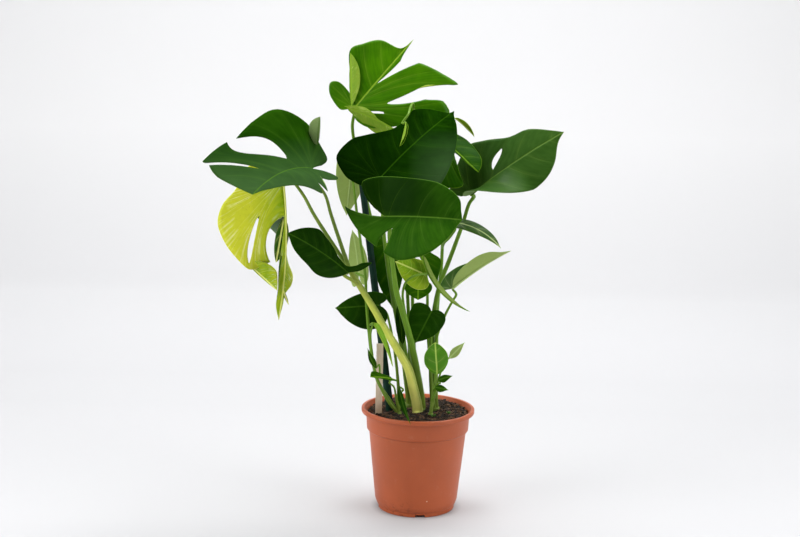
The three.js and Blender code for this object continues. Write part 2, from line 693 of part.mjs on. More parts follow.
    base: [5, -52, 449], tip: [-48, -62, 473], face: [0, 0.8, -0.4], color: LEAF_LIME, arch: -15,
    left: { width: 24, fold: 0, cup: 20 },
    right: { width: 31, fold: 0, cup: 20 },
  },
  leaf_centre_dark: {
    base: [-5, -20, 425], tip: [-5, -25, 397], face: [0, -0.9, 0.3], color: LEAF_DARK, arch: 15,
    left: { width: 26, fold: 0, cup: -20 },
    right: { width: 26, fold: 0, cup: -20 },
  },
  leaf_centre_behind: {
    base: [-64, 40, 490], tip: [-52, 18, 373], face: [0, -1, 0.2], color: LEAF_DARK, arch: 15,
    left: { width: 30, fold: 0, cup: -20 },
    right: { width: 30, fold: 0, cup: -20 },
  },
  leaf_centre_narrow: {
    base: [-31, 2, 309], tip: [-41, -4, 387], face: [0, -1, 0.1], color: LEAF_DARK, arch: 10,
    left: { width: 9, fold: 10, cup: 0, margin: OVAL },
    right: { width: 9, fold: 10, cup: 0, margin: OVAL },
  },
  sheath_withered: {
    base: [-36, -46, 240], tip: [-14, -111, 187], face: [-0.6, -0.5, 0.5], color: LEAF_DARK, arch: 25,
    left: { width: 7, fold: 20, cup: 0, margin: LANCE },
    right: { width: 7, fold: 20, cup: 0, margin: LANCE },
  },
  leaf_crown_young: {
    base: [55, 30, 726], tip: [91, 20, 693], face: [0.6, 0.6, 0.6], color: LEAF_PALE, arch: 15,
    left: { width: 8, fold: 30, cup: 0, margin: OVAL },
    right: { width: 8, fold: 30, cup: 0, margin: OVAL },
  },
  leaf_bud: {
    base: [-34, -95, 722], tip: [-44, -105, 681], face: [0.5, -0.8, 0], color: LEAF_PALE, arch: 15,
    left: { width: 9, fold: 50, cup: 60, margin: OVAL },
    right: { width: 9, fold: 50, cup: 60, margin: OVAL },
  },
};
// ---- Stems and leaf stalks ----

// Each clump rises from one upright foot, which stands in its own hole in the peat.
// A stalk is its points from the foot upwards, its radius at both ends, and the leaf it carries.
const CLUMPS = {
  stems_left: {
    foot: [-1, -20], radius: 9.5, color: STALK_YELLOW,
    stalks: [
      {
        radius: [9, 5.2],
        path: [
          [-1, -20, 188], [-3, -23, 205], [-10, -30, 234], [-19, -36, 269], [-32, -41, 294], [-49, -50, 324],
          [-67, -55, 354], [-81, -60, 380], [-103, -60, 415], [-123, -60, 447], [-131, -60, 460],
        ],
      },
      {
        radius: [4, 2.2], leaf: "leaf_left_large",
        path: [[-129, -60, 455], [-163, -65, 554], [-174, -68, 590]],
      },
      {
        radius: [4, 2.6], leaf: "leaf_left_hanging",
        path: [[-127, -60, 453], [-195, -40, 551], [-216, -26, 585]],
      },
      { radius: [3.5, 2.6], leaf: "leaf_left_middle", path: [[-112, -60, 428], [-120, -68, 436]] },
    ],
  },
  stem_middle: {
    foot: [6, -1], radius: 8, color: STALK_GREEN,
    stalks: [
      {
        radius: [7.8, 3.2], leaf: "leaf_front_lower",
        path: [
          [6, -1, 190], [4.5, -8, 210], [0, -17, 239], [-10, -27, 292], [-21, -48, 341], [-34, -65, 386],
          [-43, -80, 416], [-52, -92, 470], [-58, -102, 520],
        ],
      },
    ],
  },
  stems_back: {
    foot: [-14, 28], radius: 11, color: STALK_GREEN,
    stalks: [
      {
        radius: [4.5, 2.8], leaf: "leaf_crown",
        path: [
          [-18, 31, 188], [-25, 35, 280], [-50, 46, 400], [-86, 66, 500], [-110, 74, 590], [-124, 82, 650],
          [-133, 72, 705],
        ],
      },
      {
        radius: [4.5, 2.8], leaf: "leaf_front_upper",
        path: [[-16, 25, 188], [-33, 20, 300], [-58, 8, 430], [-70, -12, 520], [-74, -35, 585]],
      },
      {
        radius: [4, 2], leaf: "leaf_centre_behind",
        path: [[-16, 33, 188], [-28, 48, 290], [-45, 60, 400], [-60, 58, 470]],
      },
      {
        radius: [3.5, 2], leaf: "leaf_centre_narrow",
        path: [[-14, 33, 188], [-22, 28, 250], [-29, 20, 290]],
      },
      {
        radius: [3.5, 2], leaf: "leaf_centre_dark",
        path: [[-12, 28, 188], [-8, 20, 260], [-12, 10, 350], [-14, 3, 400]],
      },
      {
        radius: [3.5, 1.8], leaf: "leaf_centre_lime",
        path: [
          [-12, 22, 188], [-12, 8, 260], [-20, -10, 330], [-30, -44, 385], [-33, -68, 418], [-27, -78, 440],
          [-12, -74, 450],
        ],
      },
      {
        radius: [4, 1.8], leaf: "leaf_crown_young",
        path: [[-9, 33, 188], [-10, 42, 280], [-14, 55, 450], [5, 64, 600], [36, 50, 690]],
      },
      {
        radius: [4, 1.8], leaf: "leaf_bud",
        path: [
          [-14, 34, 188], [-18, 52, 300], [-28, 62, 480], [-26, 50, 600], [-22, 32, 680], [-20, 18, 735],
          [-22, -16, 752], [-27, -58, 746], [-31, -84, 734],
        ],
      },
    ],
  },
  stems_right: {
    foot: [31, 4], radius: 9, color: STALK_GREEN,
    stalks: [
      {
        radius: [6, 3], leaf: "leaf_right_large",
        path: [
          [30, 6, 188], [24, 4, 260], [25, 4, 360], [36, 4, 425], [50, 2, 465], [73, -6, 535],
          [84, -12, 575],
        ],
      },
      {
        radius: [4, 2.4], leaf: "leaf_right_behind",
        path: [
          [33, 7, 188], [32, 18, 280], [32, 18, 380], [37, 16, 450], [38, 28, 520], [31, 32, 620],
          [25, 26, 665],
        ],
      },
      {
        radius: [2.4, 1.8], leaf: "leaf_right_drooping",
        path: [[38, 20, 488], [41, 0, 500], [48, -18, 510], [54, -28, 520]],
      },
      {
        radius: [3.5, 2], leaf: "leaf_right_folded",
        path: [[35, 2, 188], [28, -2, 270], [32, -2, 325], [46, -6, 367], [58, -26, 397]],
      },
      { radius: [3.5, 2], leaf: "leaf_right_round", path: [[27, 1, 188], [22, -6, 260], [20, -14, 340]] },
      {
        radius: [3.5, 2], leaf: "leaf_centre_folded",
        path: [[31, 0, 188], [22, 4, 260], [14, 4, 350], [12, 0, 410], [7, -12, 455], [-6, -34, 484]],
      },
    ],
  },
  stems_young: {
    foot: [23, -40], radius: 4.5, color: STALK_GREEN,
    stalks: [
      {
        radius: [3, 1.4], leaf: "leaf_young_round",
        path: [[23, -40, 188], [26, -36, 225], [30, -33, 255]],
      },
      {
        radius: [2.4, 1.3], leaf: "leaf_young_behind",
        path: [[23, -40, 188], [32, -33, 235], [44, -24, 275]],
      },
      { radius: [1.8, 1.3], leaf: "leaf_young_small", path: [[27, -36, 232], [31, -38, 242]] },
      { radius: [1.8, 1.3], leaf: "leaf_young_low", path: [[25, -38, 212], [27, -39, 222]] },
    ],
  },
  stems_left_young: {
    foot: [-36, -36], radius: 5.5, color: STALK_GREEN,
    stalks: [
      {
        radius: [3.2, 2.2], leaf: "leaf_back_pale",
        path: [
          [-37, -36, 188], [-52, -42, 212], [-75, -49, 250], [-87, -50, 300], [-92, -50, 335],
          [-96, -50, 370], [-99, -46, 405], [-101, -38, 440], [-109, -18, 485], [-117, 0, 530],
          [-126, 25, 590], [-132, 40, 625],
        ],
      },
      { radius: [2.2, 1.8], leaf: "leaf_left_edge", path: [[-101, -38, 438], [-107, -26, 440]] },
      {
        radius: [3, 2], leaf: "leaf_left_low",
        path: [[-36, -34, 188], [-38, -22, 240], [-46, -12, 300], [-56, -14, 350], [-64, -18, 374]],
      },
      {
        radius: [2.8, 1.6], leaf: "leaf_new_rolled",
        path: [
          [-37, -37, 188], [-56, -52, 215], [-76, -62, 258], [-86, -74, 310], [-89, -79, 345],
          [-85, -81, 364],
        ],
      },
      { radius: [1.8, 1.3], leaf: "leaf_left_small", path: [[-76, -61, 256], [-72, -64, 266]] },
      {
        radius: [2.4, 1.3], leaf: "leaf_left_tiny",
        path: [[-36, -38, 188], [-42, -48, 225], [-46, -58, 243]],
      },
      { radius: [2.4, 1.5], leaf: "sheath_withered", path: [[-35, -37, 188], [-36, -41, 225]] },
    ],
  },
};

// A round tapered bar along a smooth line through the points, its ends square to the line.
function taperedBar(points, startRadius, endRadius, sides) {
  const curve = new THREE.CatmullRomCurve3(points.map(vector), false, "centripetal");
  const needed = Math.max(points.length - 1, Math.ceil(curve.getLength() / STALK_STEP));
  const steps = points.length < 3 ? 1 : needed;
  const frames = curve.computeFrenetFrames(steps, false);
  const ring = [];
  const triangles = [];
  for (let i = 0; i <= steps; i += 1) {
    const centre = curve.getPointAt(i / steps);
    const radius = startRadius + ((endRadius - startRadius) * i) / steps;
    for (let k = 0; k < sides; k += 1) {
      const turn = (Math.PI * 2 * k) / sides;
      ring.push(centre.clone()
        .addScaledVector(frames.normals[i], radius * Math.cos(turn))
        .addScaledVector(frames.binormals[i], radius * Math.sin(turn)));
    }
  }
  for (let i = 0; i < steps; i += 1) {
    for (let k = 0; k < sides; k += 1) {
      const [a, b] = [i * sides + k, i * sides + ((k + 1) % sides)];
      triangles.push([a, b, b + sides], [a, b + sides, a + sides]);
    }
  }
  for (let k = 1; k < sides - 1; k += 1) {
    triangles.push([0, k + 1, k], [steps * sides, steps * sides + k, steps * sides + k + 1]);
  }
  return indexed(ring, triangles);
}

// The last two points of a stalk: a knee, then an end that meets the blade's underside squarely.
function stalkEnd(leaf) {
  const { place } = bladeShape(leaf);
  const base = place(0, 0, leaf.left);
  const down = base.clone().sub(place(0, 0, leaf.left, 1)).normalize();
  const end = base.clone().addScaledVector(down, BLADE_THICKNESS / 2 + STALK_GAP);
  return [end.clone().addScaledVector(down, KNEE), end].map((point) => point.toArray());
}

function clumpGeometry({ foot, radius, stalks }) {
  const [x, y] = foot;
  const solids = [toSolid(taperedBar([[x, y, STUB_FOOT], [x, y, STUB_TOP]], radius, radius, 10))];
  for (const stalk of stalks) {
    const path = stalk.leaf ? [...stalk.path, ...stalkEnd(LEAVES[stalk.leaf])] : stalk.path;
    solids.push(toSolid(taperedBar(path, ...stalk.radius, STALK_SIDES)));
  }
  return toGeometry(wasm.Manifold.union(solids));
}

// ---- Pot, peat, stake and label stick ----

function lathe(profile) {
  const points = profile.map(([radius, height]) => new THREE.Vector2(radius, height));
  return new THREE.LatheGeometry(points, POT_SIDES).rotateX(Math.PI / 2);
}

function potGeometry() {
  let solid = toSolid(lathe([...POT_OUTSIDE, ...POT_INSIDE, [0, FLOOR_HEIGHT]]));
  const length = 100 - DRAIN_INNER;
  for (let i = 0; i < DRAIN_CHANNELS; i += 1) {
    const channel = new THREE.BoxGeometry(length, DRAIN_WIDTH, DRAIN_HEIGHT * 2);
    channel.translate(DRAIN_INNER + length / 2, 0, 0);
    channel.rotateZ(THREE.MathUtils.degToRad(DRAIN_TURN + (i * 360) / DRAIN_CHANNELS));
    solid = solid.subtract(toSolid(channel));
  }
  return toGeometry(solid);
}

// A round hole along a line, wider than the bar in it by the gap.
function holeFor(from, to, radii, sides) {
  return toSolid(taperedBar([from, to], radii[0] + GAP, radii[1] + GAP, sides));
}

function peatBump(x, y) {
  const waves = [0.12 * x + 1, 0.16 * y + 2, 0.2 * (x + y), 0.31 * (x - y)];
  return (PEAT_BUMP / 4) * waves.reduce((sum, turn) => sum + Math.sin(turn), 0);
}

function peatGeometry() {
  const side = POT_INSIDE.slice(1).reverse().map(([radius, height]) => [radius - GAP, height + GAP]);
  const top = [92, 84, 74, 62, 50, 38, 26, 14, 0].map((radius) => [radius, PEAT_HEIGHT]);
  const body = lathe([[0, FLOOR_HEIGHT + GAP], ...side, [93.2, PEAT_EDGE], ...top]);
  const position = body.attributes.position;
  for (let i = 0; i < position.count; i += 1) {
    const [x, y, z] = [position.getX(i), position.getY(i), position.getZ(i)];
    if (z > PEAT_EDGE + 1) position.setZ(i, z + peatBump(x, y));
  }
  let solid = toSolid(body);
  for (const { foot: [x, y], radius } of Object.values(CLUMPS)) {
    solid = solid.subtract(holeFor([x, y, STUB_FOOT - GAP], [x, y, RIM_HEIGHT + 10], [radius, radius], 10));
  }
  const down = vector(STAKE_FOOT).sub(vector(STAKE_TOP)).normalize();
  const bottom = vector(STAKE_FOOT).addScaledVector(down, GAP).toArray();
  solid = solid.subtract(holeFor(bottom, STAKE_TOP, STAKE_RADII, 12));
  return toGeometry(solid.subtract(toSolid(labelGeometry(GAP))));
}

function labelGeometry(gap = 0) {
  const [x, y, z] = LABEL_FOOT;
  const height = LABEL_TOP - z;
  const label = new THREE.BoxGeometry(LABEL_WIDTH + gap * 2, LABEL_THICKNESS + gap * 2, height + gap * 2);
  return label.translate(x, y, z + height / 2);
}

// ---- The whole plant ----

addMesh("pot", potGeometry(), TERRACOTTA, 0.5);
addMesh("peat", peatGeometry(), PEAT, 1);
addMesh("stake", taperedBar([STAKE_FOOT, STAKE_TOP], ...STAKE_RADII, 12), STAKE_GREEN, 0.45);
addMesh("label_stick", labelGeometry(), PALE_WOOD, 0.8);
for (const [name, clump] of Object.entries(CLUMPS)) addMesh(name, clumpGeometry(clump), clump.color, 0.5);
for (const [name, leaf] of Object.entries(LEAVES)) addMesh(name, leafGeometry(leaf), leaf.color, 0.35);

export default object;
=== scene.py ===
# %% [markdown]
# # A potted monstera
#
# The object is a young monstera in a plastic nursery pot: some thirty large and small leaf blades on long
# stalks, peat, a green stake and a wooden label stick. The leaf blades carry the likeness, so most of the
# cells below make one blade generator and its finish. Everything is drawn in millimetres, the unit that a
# grower measures in, and scaled to metres when a mesh is made.

# %% Load the frame
import math
import random

import bpy
import numpy as np
from mathutils import Matrix, Vector, noise


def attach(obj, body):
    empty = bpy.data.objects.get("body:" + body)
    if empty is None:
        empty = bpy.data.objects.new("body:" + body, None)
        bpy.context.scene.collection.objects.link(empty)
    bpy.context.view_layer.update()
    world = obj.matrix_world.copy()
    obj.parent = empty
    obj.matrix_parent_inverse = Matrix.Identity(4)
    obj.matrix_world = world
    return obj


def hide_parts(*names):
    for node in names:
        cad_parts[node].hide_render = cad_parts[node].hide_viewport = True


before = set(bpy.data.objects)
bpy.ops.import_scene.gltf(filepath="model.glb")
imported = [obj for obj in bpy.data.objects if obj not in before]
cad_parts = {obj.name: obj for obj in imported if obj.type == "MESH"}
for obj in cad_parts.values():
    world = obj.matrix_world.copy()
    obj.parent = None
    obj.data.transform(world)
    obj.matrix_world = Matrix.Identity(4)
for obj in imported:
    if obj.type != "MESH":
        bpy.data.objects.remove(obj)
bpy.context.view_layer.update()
MM = 0.001

# %% [markdown]
# ## The camera
#
# A product photograph of a tall plant is taken from a few metres away with a long lens, a little above the
# leaves and tipped down towards the pot. The camera could be placed by eye, but the ellipse of the pot's
# rim and its foot fix it: a 60 mm lens, 2.4 m in front of the plant and level with its crown.

# %% Place the camera
SENSOR_WIDTH = 36.0
LENS = 60.0
EYE = Vector((-39, -2414, 833)) * MM
PITCH_DOWN = math.radians(9.0)
ROLL = math.radians(1.22)


def make_camera():
    """The camera looks along +Y, tipped down, and rolled by the small tilt of the photograph."""
    data = bpy.data.cameras.new("camera")
    data.sensor_width = SENSOR_WIDTH
    data.lens = LENS
    data.clip_end = 30
    camera = bpy.data.objects.new("camera", data)
    bpy.context.scene.collection.objects.link(camera)
    look = Matrix.Rotation(math.pi / 2 - PITCH_DOWN, 4, "X") @ Matrix.Rotation(ROLL, 4, "Z")
    camera.matrix_world = Matrix.Translation(EYE) @ look
    bpy.context.scene.camera = camera
    return camera


camera = make_camera()
print("camera at", [round(value, 3) for value in camera.location])

# %% [markdown]
# ## Shader maths as expressions
#
# A finish is mostly arithmetic on masks: where a vein is, how near the rim, how dirty the foot. Node graphs
# hide that arithmetic, so a small class wraps one socket and turns `1 - mask * 0.4` into Math nodes.
# Colours are mixed with Mix nodes, because a Math node would turn them grey.

# %% A socket that can be used in an expression
class Value:
    """One number output of a node tree, usable in Python arithmetic."""

    def __init__(self, tree, socket):
        self.tree = tree
        self.socket = socket

    def _math(self, operation, first, second=None, clamp=False):
        node = self.tree.nodes.new("ShaderNodeMath")
        node.operation = operation
        node.use_clamp = clamp
        for index, term in enumerate((first, second)):
            if isinstance(term, Value):
                self.tree.links.new(term.socket, node.inputs[index])
            elif term is not None:
                node.inputs[index].default_value = term
        return Value(self.tree, node.outputs[0])

    def __add__(self, other):
        return self._math("ADD", self, other)

    def __sub__(self, other):
        return self._math("SUBTRACT", self, other)

    def __rsub__(self, other):
        return self._math("SUBTRACT", other, self)

    def __mul__(self, other):
        return self._math("MULTIPLY", self, other)

    def __truediv__(self, other):
        return self._math("DIVIDE", self, other)

    __radd__ = __add__
    __rmul__ = __mul__

    def above(self, edge):
        return self._math("GREATER_THAN", self, edge)

    def clamped(self):
        return self._math("ADD", self, 0.0, clamp=True)

    def power(self, other):
        return self._math("POWER", self, other)

    def fade(self, start, end):
        """0 before start and 1 after end, straight between."""
        return ((self - start) * (1.0 / (end - start))).clamped()


# %% A finish, with one method for every other node
class Finish:
    """A material whose nodes are added by node(type, settings, **sockets)."""

    def __init__(self, name):
        self.material = bpy.data.materials.new(name)
        self.material.use_nodes = True
        self.tree = self.material.node_tree
        self.shader = next(each for each in self.tree.nodes if each.type == "BSDF_PRINCIPLED")

    def node(self, kind, settings=None, output=0, **sockets):
        """Adds a node, applies its settings, then fills or links its sockets by name."""
        node = self.tree.nodes.new("ShaderNode" + kind)
        for key, value in (settings or {}).items():
            if key == "stops":
                self._set_stops(node.color_ramp, value)
            else:
                setattr(node, key, value)
        for key, value in sockets.items():
            self._fill(node, key, value)
        return self._wrap(node.outputs[output])

    def _set_stops(self, ramp, stops):
        while len(ramp.elements) < len(stops):
            ramp.elements.new(1.0)
        for element, (position, color) in zip(ramp.elements, stops):
            element.position = position
            element.color = (*color, 1)

    def _fill(self, node, key, value):
        name = key.replace("_", " ")
        socket = next(each for each in node.inputs if each.enabled and each.name == name)
        if isinstance(value, Value):
            self.tree.links.new(value.socket, socket)
        elif isinstance(value, bpy.types.NodeSocket):
            self.tree.links.new(value, socket)
        else:
            socket.default_value = (*value, 1) if socket.type == "RGBA" and len(value) == 3 else value

    def _wrap(self, socket):
        return Value(self.tree, socket) if socket.type == "VALUE" else socket

    def _split(self, vector):
        """The three numbers of a vector socket, each by itself."""
        node = self.tree.nodes.new("ShaderNodeSeparateXYZ")
        self.tree.links.new(vector, node.inputs[0])
        return [Value(self.tree, each) for each in node.outputs]

    def read(self, name):
        """The three numbers of a vector attribute of the mesh."""
        return self._split(self.node("Attribute", {"attribute_name": name}, output=1))

    def place(self):
        """Object coordinates in metres."""
        return self.node("TexCoord", output=3)

    def axes(self):
        """The three object coordinates, each by itself."""
        return self._split(self.place())

    def facing(self):
        """The three numbers of the surface's own direction."""
        return self._split(self.node("NewGeometry", output=1))

    def noise(self, scale, detail=3.0, roughness=0.55, where=None):
        """Noise with a scale in features to the metre."""
        spot = self.place() if where is None else where
        return self.node("TexNoise", Vector=spot, Scale=scale, Detail=detail, Roughness=roughness)

    def mix(self, factor, first, second):
        """first where the factor is 0 and second where it is 1; both are colours."""
        return self.node("Mix", {"data_type": "RGBA"}, output=2, Factor=factor, A=first, B=second)

    def bump(self, height, distance, strength=1.0, under=None):
        """A normal from a height in units of distance, over another normal if one is given."""
        sockets = {"Height": height, "Distance": distance, "Strength": strength}
        if under is not None:
            sockets["Normal"] = under
        return self.node("Bump", **sockets)

    def surface(self, **sockets):
        """Fills the main shader's sockets by name, with numbers, colours or links."""
        for key, value in sockets.items():
            self._fill(self.shader, key, value)
        return self.material


def srgb(red, green, blue):
    """A colour read as 0-255 screen values, as the linear numbers that shaders use."""
    parts = [value / 255 for value in (red, green, blue)]
    return tuple(part / 12.92 if part <= 0.04045 else ((part + 0.055) / 1.055) ** 2.4 for part in parts)


print("shader helpers ready")

# %% [markdown]
# ## Making a piece
#
# Each piece is one mesh object at the origin, as the frame's own nodes are. It rides on the row's only
# body and replaces the plain solid that stands for it.

# %% From points and faces to a piece of the plant
def add_piece(name, points, faces, finish, marks=None):
    """points are in millimetres; marks are named vector attributes, one row for each point."""
    mesh = bpy.data.meshes.new(name)
    mesh.from_pydata((np.asarray(points) * MM).tolist(), [], faces)
    mesh.validate()
    for key, values in (marks or {}).items():
        mesh.attributes.new(key, "FLOAT_VECTOR", "POINT").data.foreach_set("vector", np.ravel(values))
    mesh.materials.append(finish)
    mesh.shade_smooth()
    piece = bpy.data.objects.new(name, mesh)
    bpy.context.scene.collection.objects.link(piece)
    return piece


def stands_for(piece, node):
    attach(piece, "root")
    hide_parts(node)
    return piece

# %% [markdown]
# ## The shape of a leaf blade
#
# A monstera blade is a heart with a strong midrib. Side veins leave the midrib and run to the margin, and
# the slits and holes lie between veins. So the blade is drawn on a grid that grows as the leaf did: a
# column for each vein line, from where it leaves the midrib to its place on the margin, and rows from the
# midrib outwards. A plane with a cut-out picture would be quicker, but it has no thickness, no folds and no
# edge. The flat grid is then bent: along an arched midrib, and across by the fold and the cupping of each
# half.

# %% Margins and the numbers that all blades share
# The first number runs along the midrib (0 joint, 1 tip), the second from the midrib to the widest margin.
# A third number says where the vein to that point leaves the midrib, and a fourth how much it bows.
HEART = [
    (0, 0), (-0.12, 0.1), (-0.24, 0.38), (-0.19, 0.77), (0.07, 1),
    (0.37, 0.94), (0.64, 0.68), (0.84, 0.34), (0.94, 0.1), (1, 0),
]
OVAL = [(0, 0), (0.03, 0.25), (0.14, 0.66), (0.36, 1), (0.64, 0.94), (0.87, 0.5), (1, 0)]
ROLLED = [(0, 0), (0.04, 0.6), (0.15, 1), (0.35, 0.95), (0.6, 0.6), (0.8, 0.3), (1, 0)]
LANCE = [(0, 0), (0.08, 0.35), (0.25, 0.88), (0.42, 1), (0.62, 0.75), (0.8, 0.36), (0.92, 0.11), (1, 0)]
VEIN_LEAN = 0.28
LAST_VEIN_START = 0.95
VEIN_BOW = 0.07
MIDRIB_STEP = 0.025
MIDRIB_BACK = -0.65
FOLD_START = -0.25


def spline(knots, at):
    """A smooth line through the knots, at 0 for the first and 1 for the last."""
    last = len(knots) - 1
    place = np.clip(at, 0, 1) * last
    i = np.minimum(np.floor(place).astype(int), last - 1)
    t = (place - i)[..., None]
    before, here = knots[np.maximum(i - 1, 0)], knots[i]
    there, after = knots[i + 1], knots[np.minimum(i + 2, last)]
    leave, arrive = (there - before) / 2, (after - here) / 2
    cubic = (2 * (here - there) + leave + arrive) * t + (3 * (there - here) - 2 * leave - arrive)
    return cubic * t * t + leave * t + here


# %% The margin and the vein that runs to each of its points
class Margin:
    """Gives a margin point, its vein's start on the midrib and the vein's bow, for places 0 to 1."""

    def __init__(self, rows):
        self.count = len(rows) - 1
        self.line = np.array([row[:2] for row in rows], float)
        starts = []
        for row in rows:
            start = row[2] if len(row) > 2 else row[0] - VEIN_LEAN * row[1]
            starts.append(max(min(LAST_VEIN_START, max(0, start)), starts[-1] if starts else 0))
        starts[-1] = 1
        self.starts = np.array(starts, float)
        usual = [VEIN_BOW * math.sin(math.pi * min(1, max(0, (i / self.count - 0.3) / 0.7)))
                 for i in range(len(rows))]
        self.bows = np.array([row[3] if len(row) > 3 else bow for row, bow in zip(rows, usual)], float)

    def at(self, place):
        knots = np.linspace(0, 1, self.count + 1)
        flat = np.clip(place, 0, 1)
        return spline(self.line, flat), np.interp(flat, knots, self.starts), np.interp(flat, knots, self.bows)


# %% Bending a flat blade into its place
class Shape:
    """Puts flat leaf points in space, in millimetres."""

    def __init__(self, leaf):
        self.base = np.array(leaf["base"], float)
        chord = np.array(leaf["tip"], float) - self.base
        arch = math.radians(leaf.get("arch", 20))
        back_bend = math.radians(leaf.get("backBend", 20))
        self.u, self.x, self.z, self.slope = self._midrib(arch, back_bend)
        end_x, end_z = np.interp(1, self.u, self.x), np.interp(1, self.u, self.z)
        self.length = np.linalg.norm(chord) / math.hypot(end_x, end_z)
        self.tilt = math.atan2(end_z, end_x)
        self.along = chord / np.linalg.norm(chord)
        face = np.array(leaf["face"], float)
        self.up = face - self.along * face.dot(self.along)
        self.up /= np.linalg.norm(self.up)
        self.across = np.cross(self.up, self.along)

    def _midrib(self, arch, back_bend):
        """The midrib as a bent line in the plane of its chord and the blade's upper side."""
        def slope(u):
            return np.where(u < 0, back_bend * -u * 2, -arch * u)
        ahead = np.arange(0, 1.05 + MIDRIB_STEP, MIDRIB_STEP)
        behind = np.arange(0, MIDRIB_BACK - MIDRIB_STEP / 2, -MIDRIB_STEP)
        x, z = {}, {}
        for name, line in (("ahead", ahead), ("behind", behind)):
            middles = slope((line[1:] + line[:-1]) / 2)
            steps = np.diff(line)
            x[name] = np.concatenate([[0], np.cumsum(np.cos(middles) * steps)])
            z[name] = np.concatenate([[0], np.cumsum(np.sin(middles) * steps)])
        u = np.concatenate([behind[:0:-1], ahead])
        return (u, np.concatenate([x["behind"][:0:-1], x["ahead"]]),
                np.concatenate([z["behind"][:0:-1], z["ahead"]]), slope(u))

    def place(self, u, v, half, lift=0.0):
        """u along the midrib and v across it, both in mm; v is positive on the left."""
        rib = [np.interp(u / self.length, self.u, line) for line in (self.x, self.z, self.slope)]
        x = (rib[0] * math.cos(self.tilt) + rib[1] * math.sin(self.tilt)) * self.length
        z = (rib[1] * math.cos(self.tilt) - rib[0] * math.sin(self.tilt)) * self.length
        slope = rib[2] - self.tilt
        folds = np.atleast_1d(half.get("fold", 0)).astype(float)
        if len(folds) > 1:
            fold = np.interp(u / self.length, np.linspace(FOLD_START, 1, len(folds)), folds)
        else:
            fold = np.full(np.shape(u), folds[0])
        fold = np.radians(fold)
        bend = math.radians(half.get("cup", 0)) / half["width"]
        reach = np.abs(v)
        if abs(bend) < 1e-9:
            out, rise = reach * np.cos(fold), reach * np.sin(fold)
        else:
            out = (np.sin(fold + bend * reach) - np.sin(fold)) / bend
            rise = (np.cos(fold) - np.cos(fold + bend * reach)) / bend
        rise = rise + lift
        side = np.sign(v) * out
        return (self.base + (x - np.sin(slope) * rise)[..., None] * self.along
                + side[..., None] * self.across + (z + np.cos(slope) * rise)[..., None] * self.up)


print("blade shape ready")

# %% [markdown]
# ## The grid of one half
#
# Every margin point has a vein column. Between two of them lie a few finer columns, so that the margin runs
# smoothly and the blade can swell between its veins. A slit has a column on each of its lips, which part
# where it starts; a hole's two lips meet again before the margin.

# %% Columns and rows
LOBE_ROUNDING = 0.07
ROUNDING_WIDTH = 0.035


def vein_columns(margin, splits):
    """(place along the margin, lip, split) for each vein, with two lips for each split."""
    columns = []
    for k in range(1, margin.count + 1):
        at = k / margin.count
        if all(abs(at - split["at"]) > split["gap"] / 2 + 0.2 / margin.count for split in splits):
            columns.append((at, 0, None))
    for split in splits:
        columns += [(split["at"], -1, split), (split["at"], 1, split)]
    return sorted(columns, key=lambda column: (column[0], column[1]))


def row_places(column, splits, rows):
    """How far out each row lies, 0 at the midrib, with a row just where a split starts or ends."""
    at, _, split = column
    knots = [(0, 0.0)]
    if split:
        start = min(rows - 1, max(1, round(split["begins"] * rows)))
        knots.append((start, split["begins"]))
        if split.get("ends", 1) < 1:
            knots.append((min(rows - 1, max(start + 1, round(split["ends"] * rows))), split["ends"]))
    reach = 1.0
    for each in splits:
        if each.get("ends", 1) >= 1:
            away = 0 if each is split else abs(at - each["at"]) / ROUNDING_WIDTH
            reach = min(reach, 1 - LOBE_ROUNDING * max(0, 1 - away) ** 2)
    knots.append((rows, reach))
    return np.interp(np.arange(rows + 1), [knot[0] for knot in knots], [knot[1] for knot in knots])


def split_opening(split, out):
    """Half the width of a split where a row is that far out."""
    begins, ends = split["begins"], split.get("ends", 1)
    t = np.clip((out - begins) / (ends - begins), 0, 1)
    mouth = split.get("mouth", 0 if ends < 1 else 1)
    return split["gap"] / 2 * ((1 - mouth) * np.sin(math.pi * t) ** 0.7 + mouth * t ** 0.55)


# %% One half of a blade as a grid
SWELL = 0.35
WAVE = 0.022


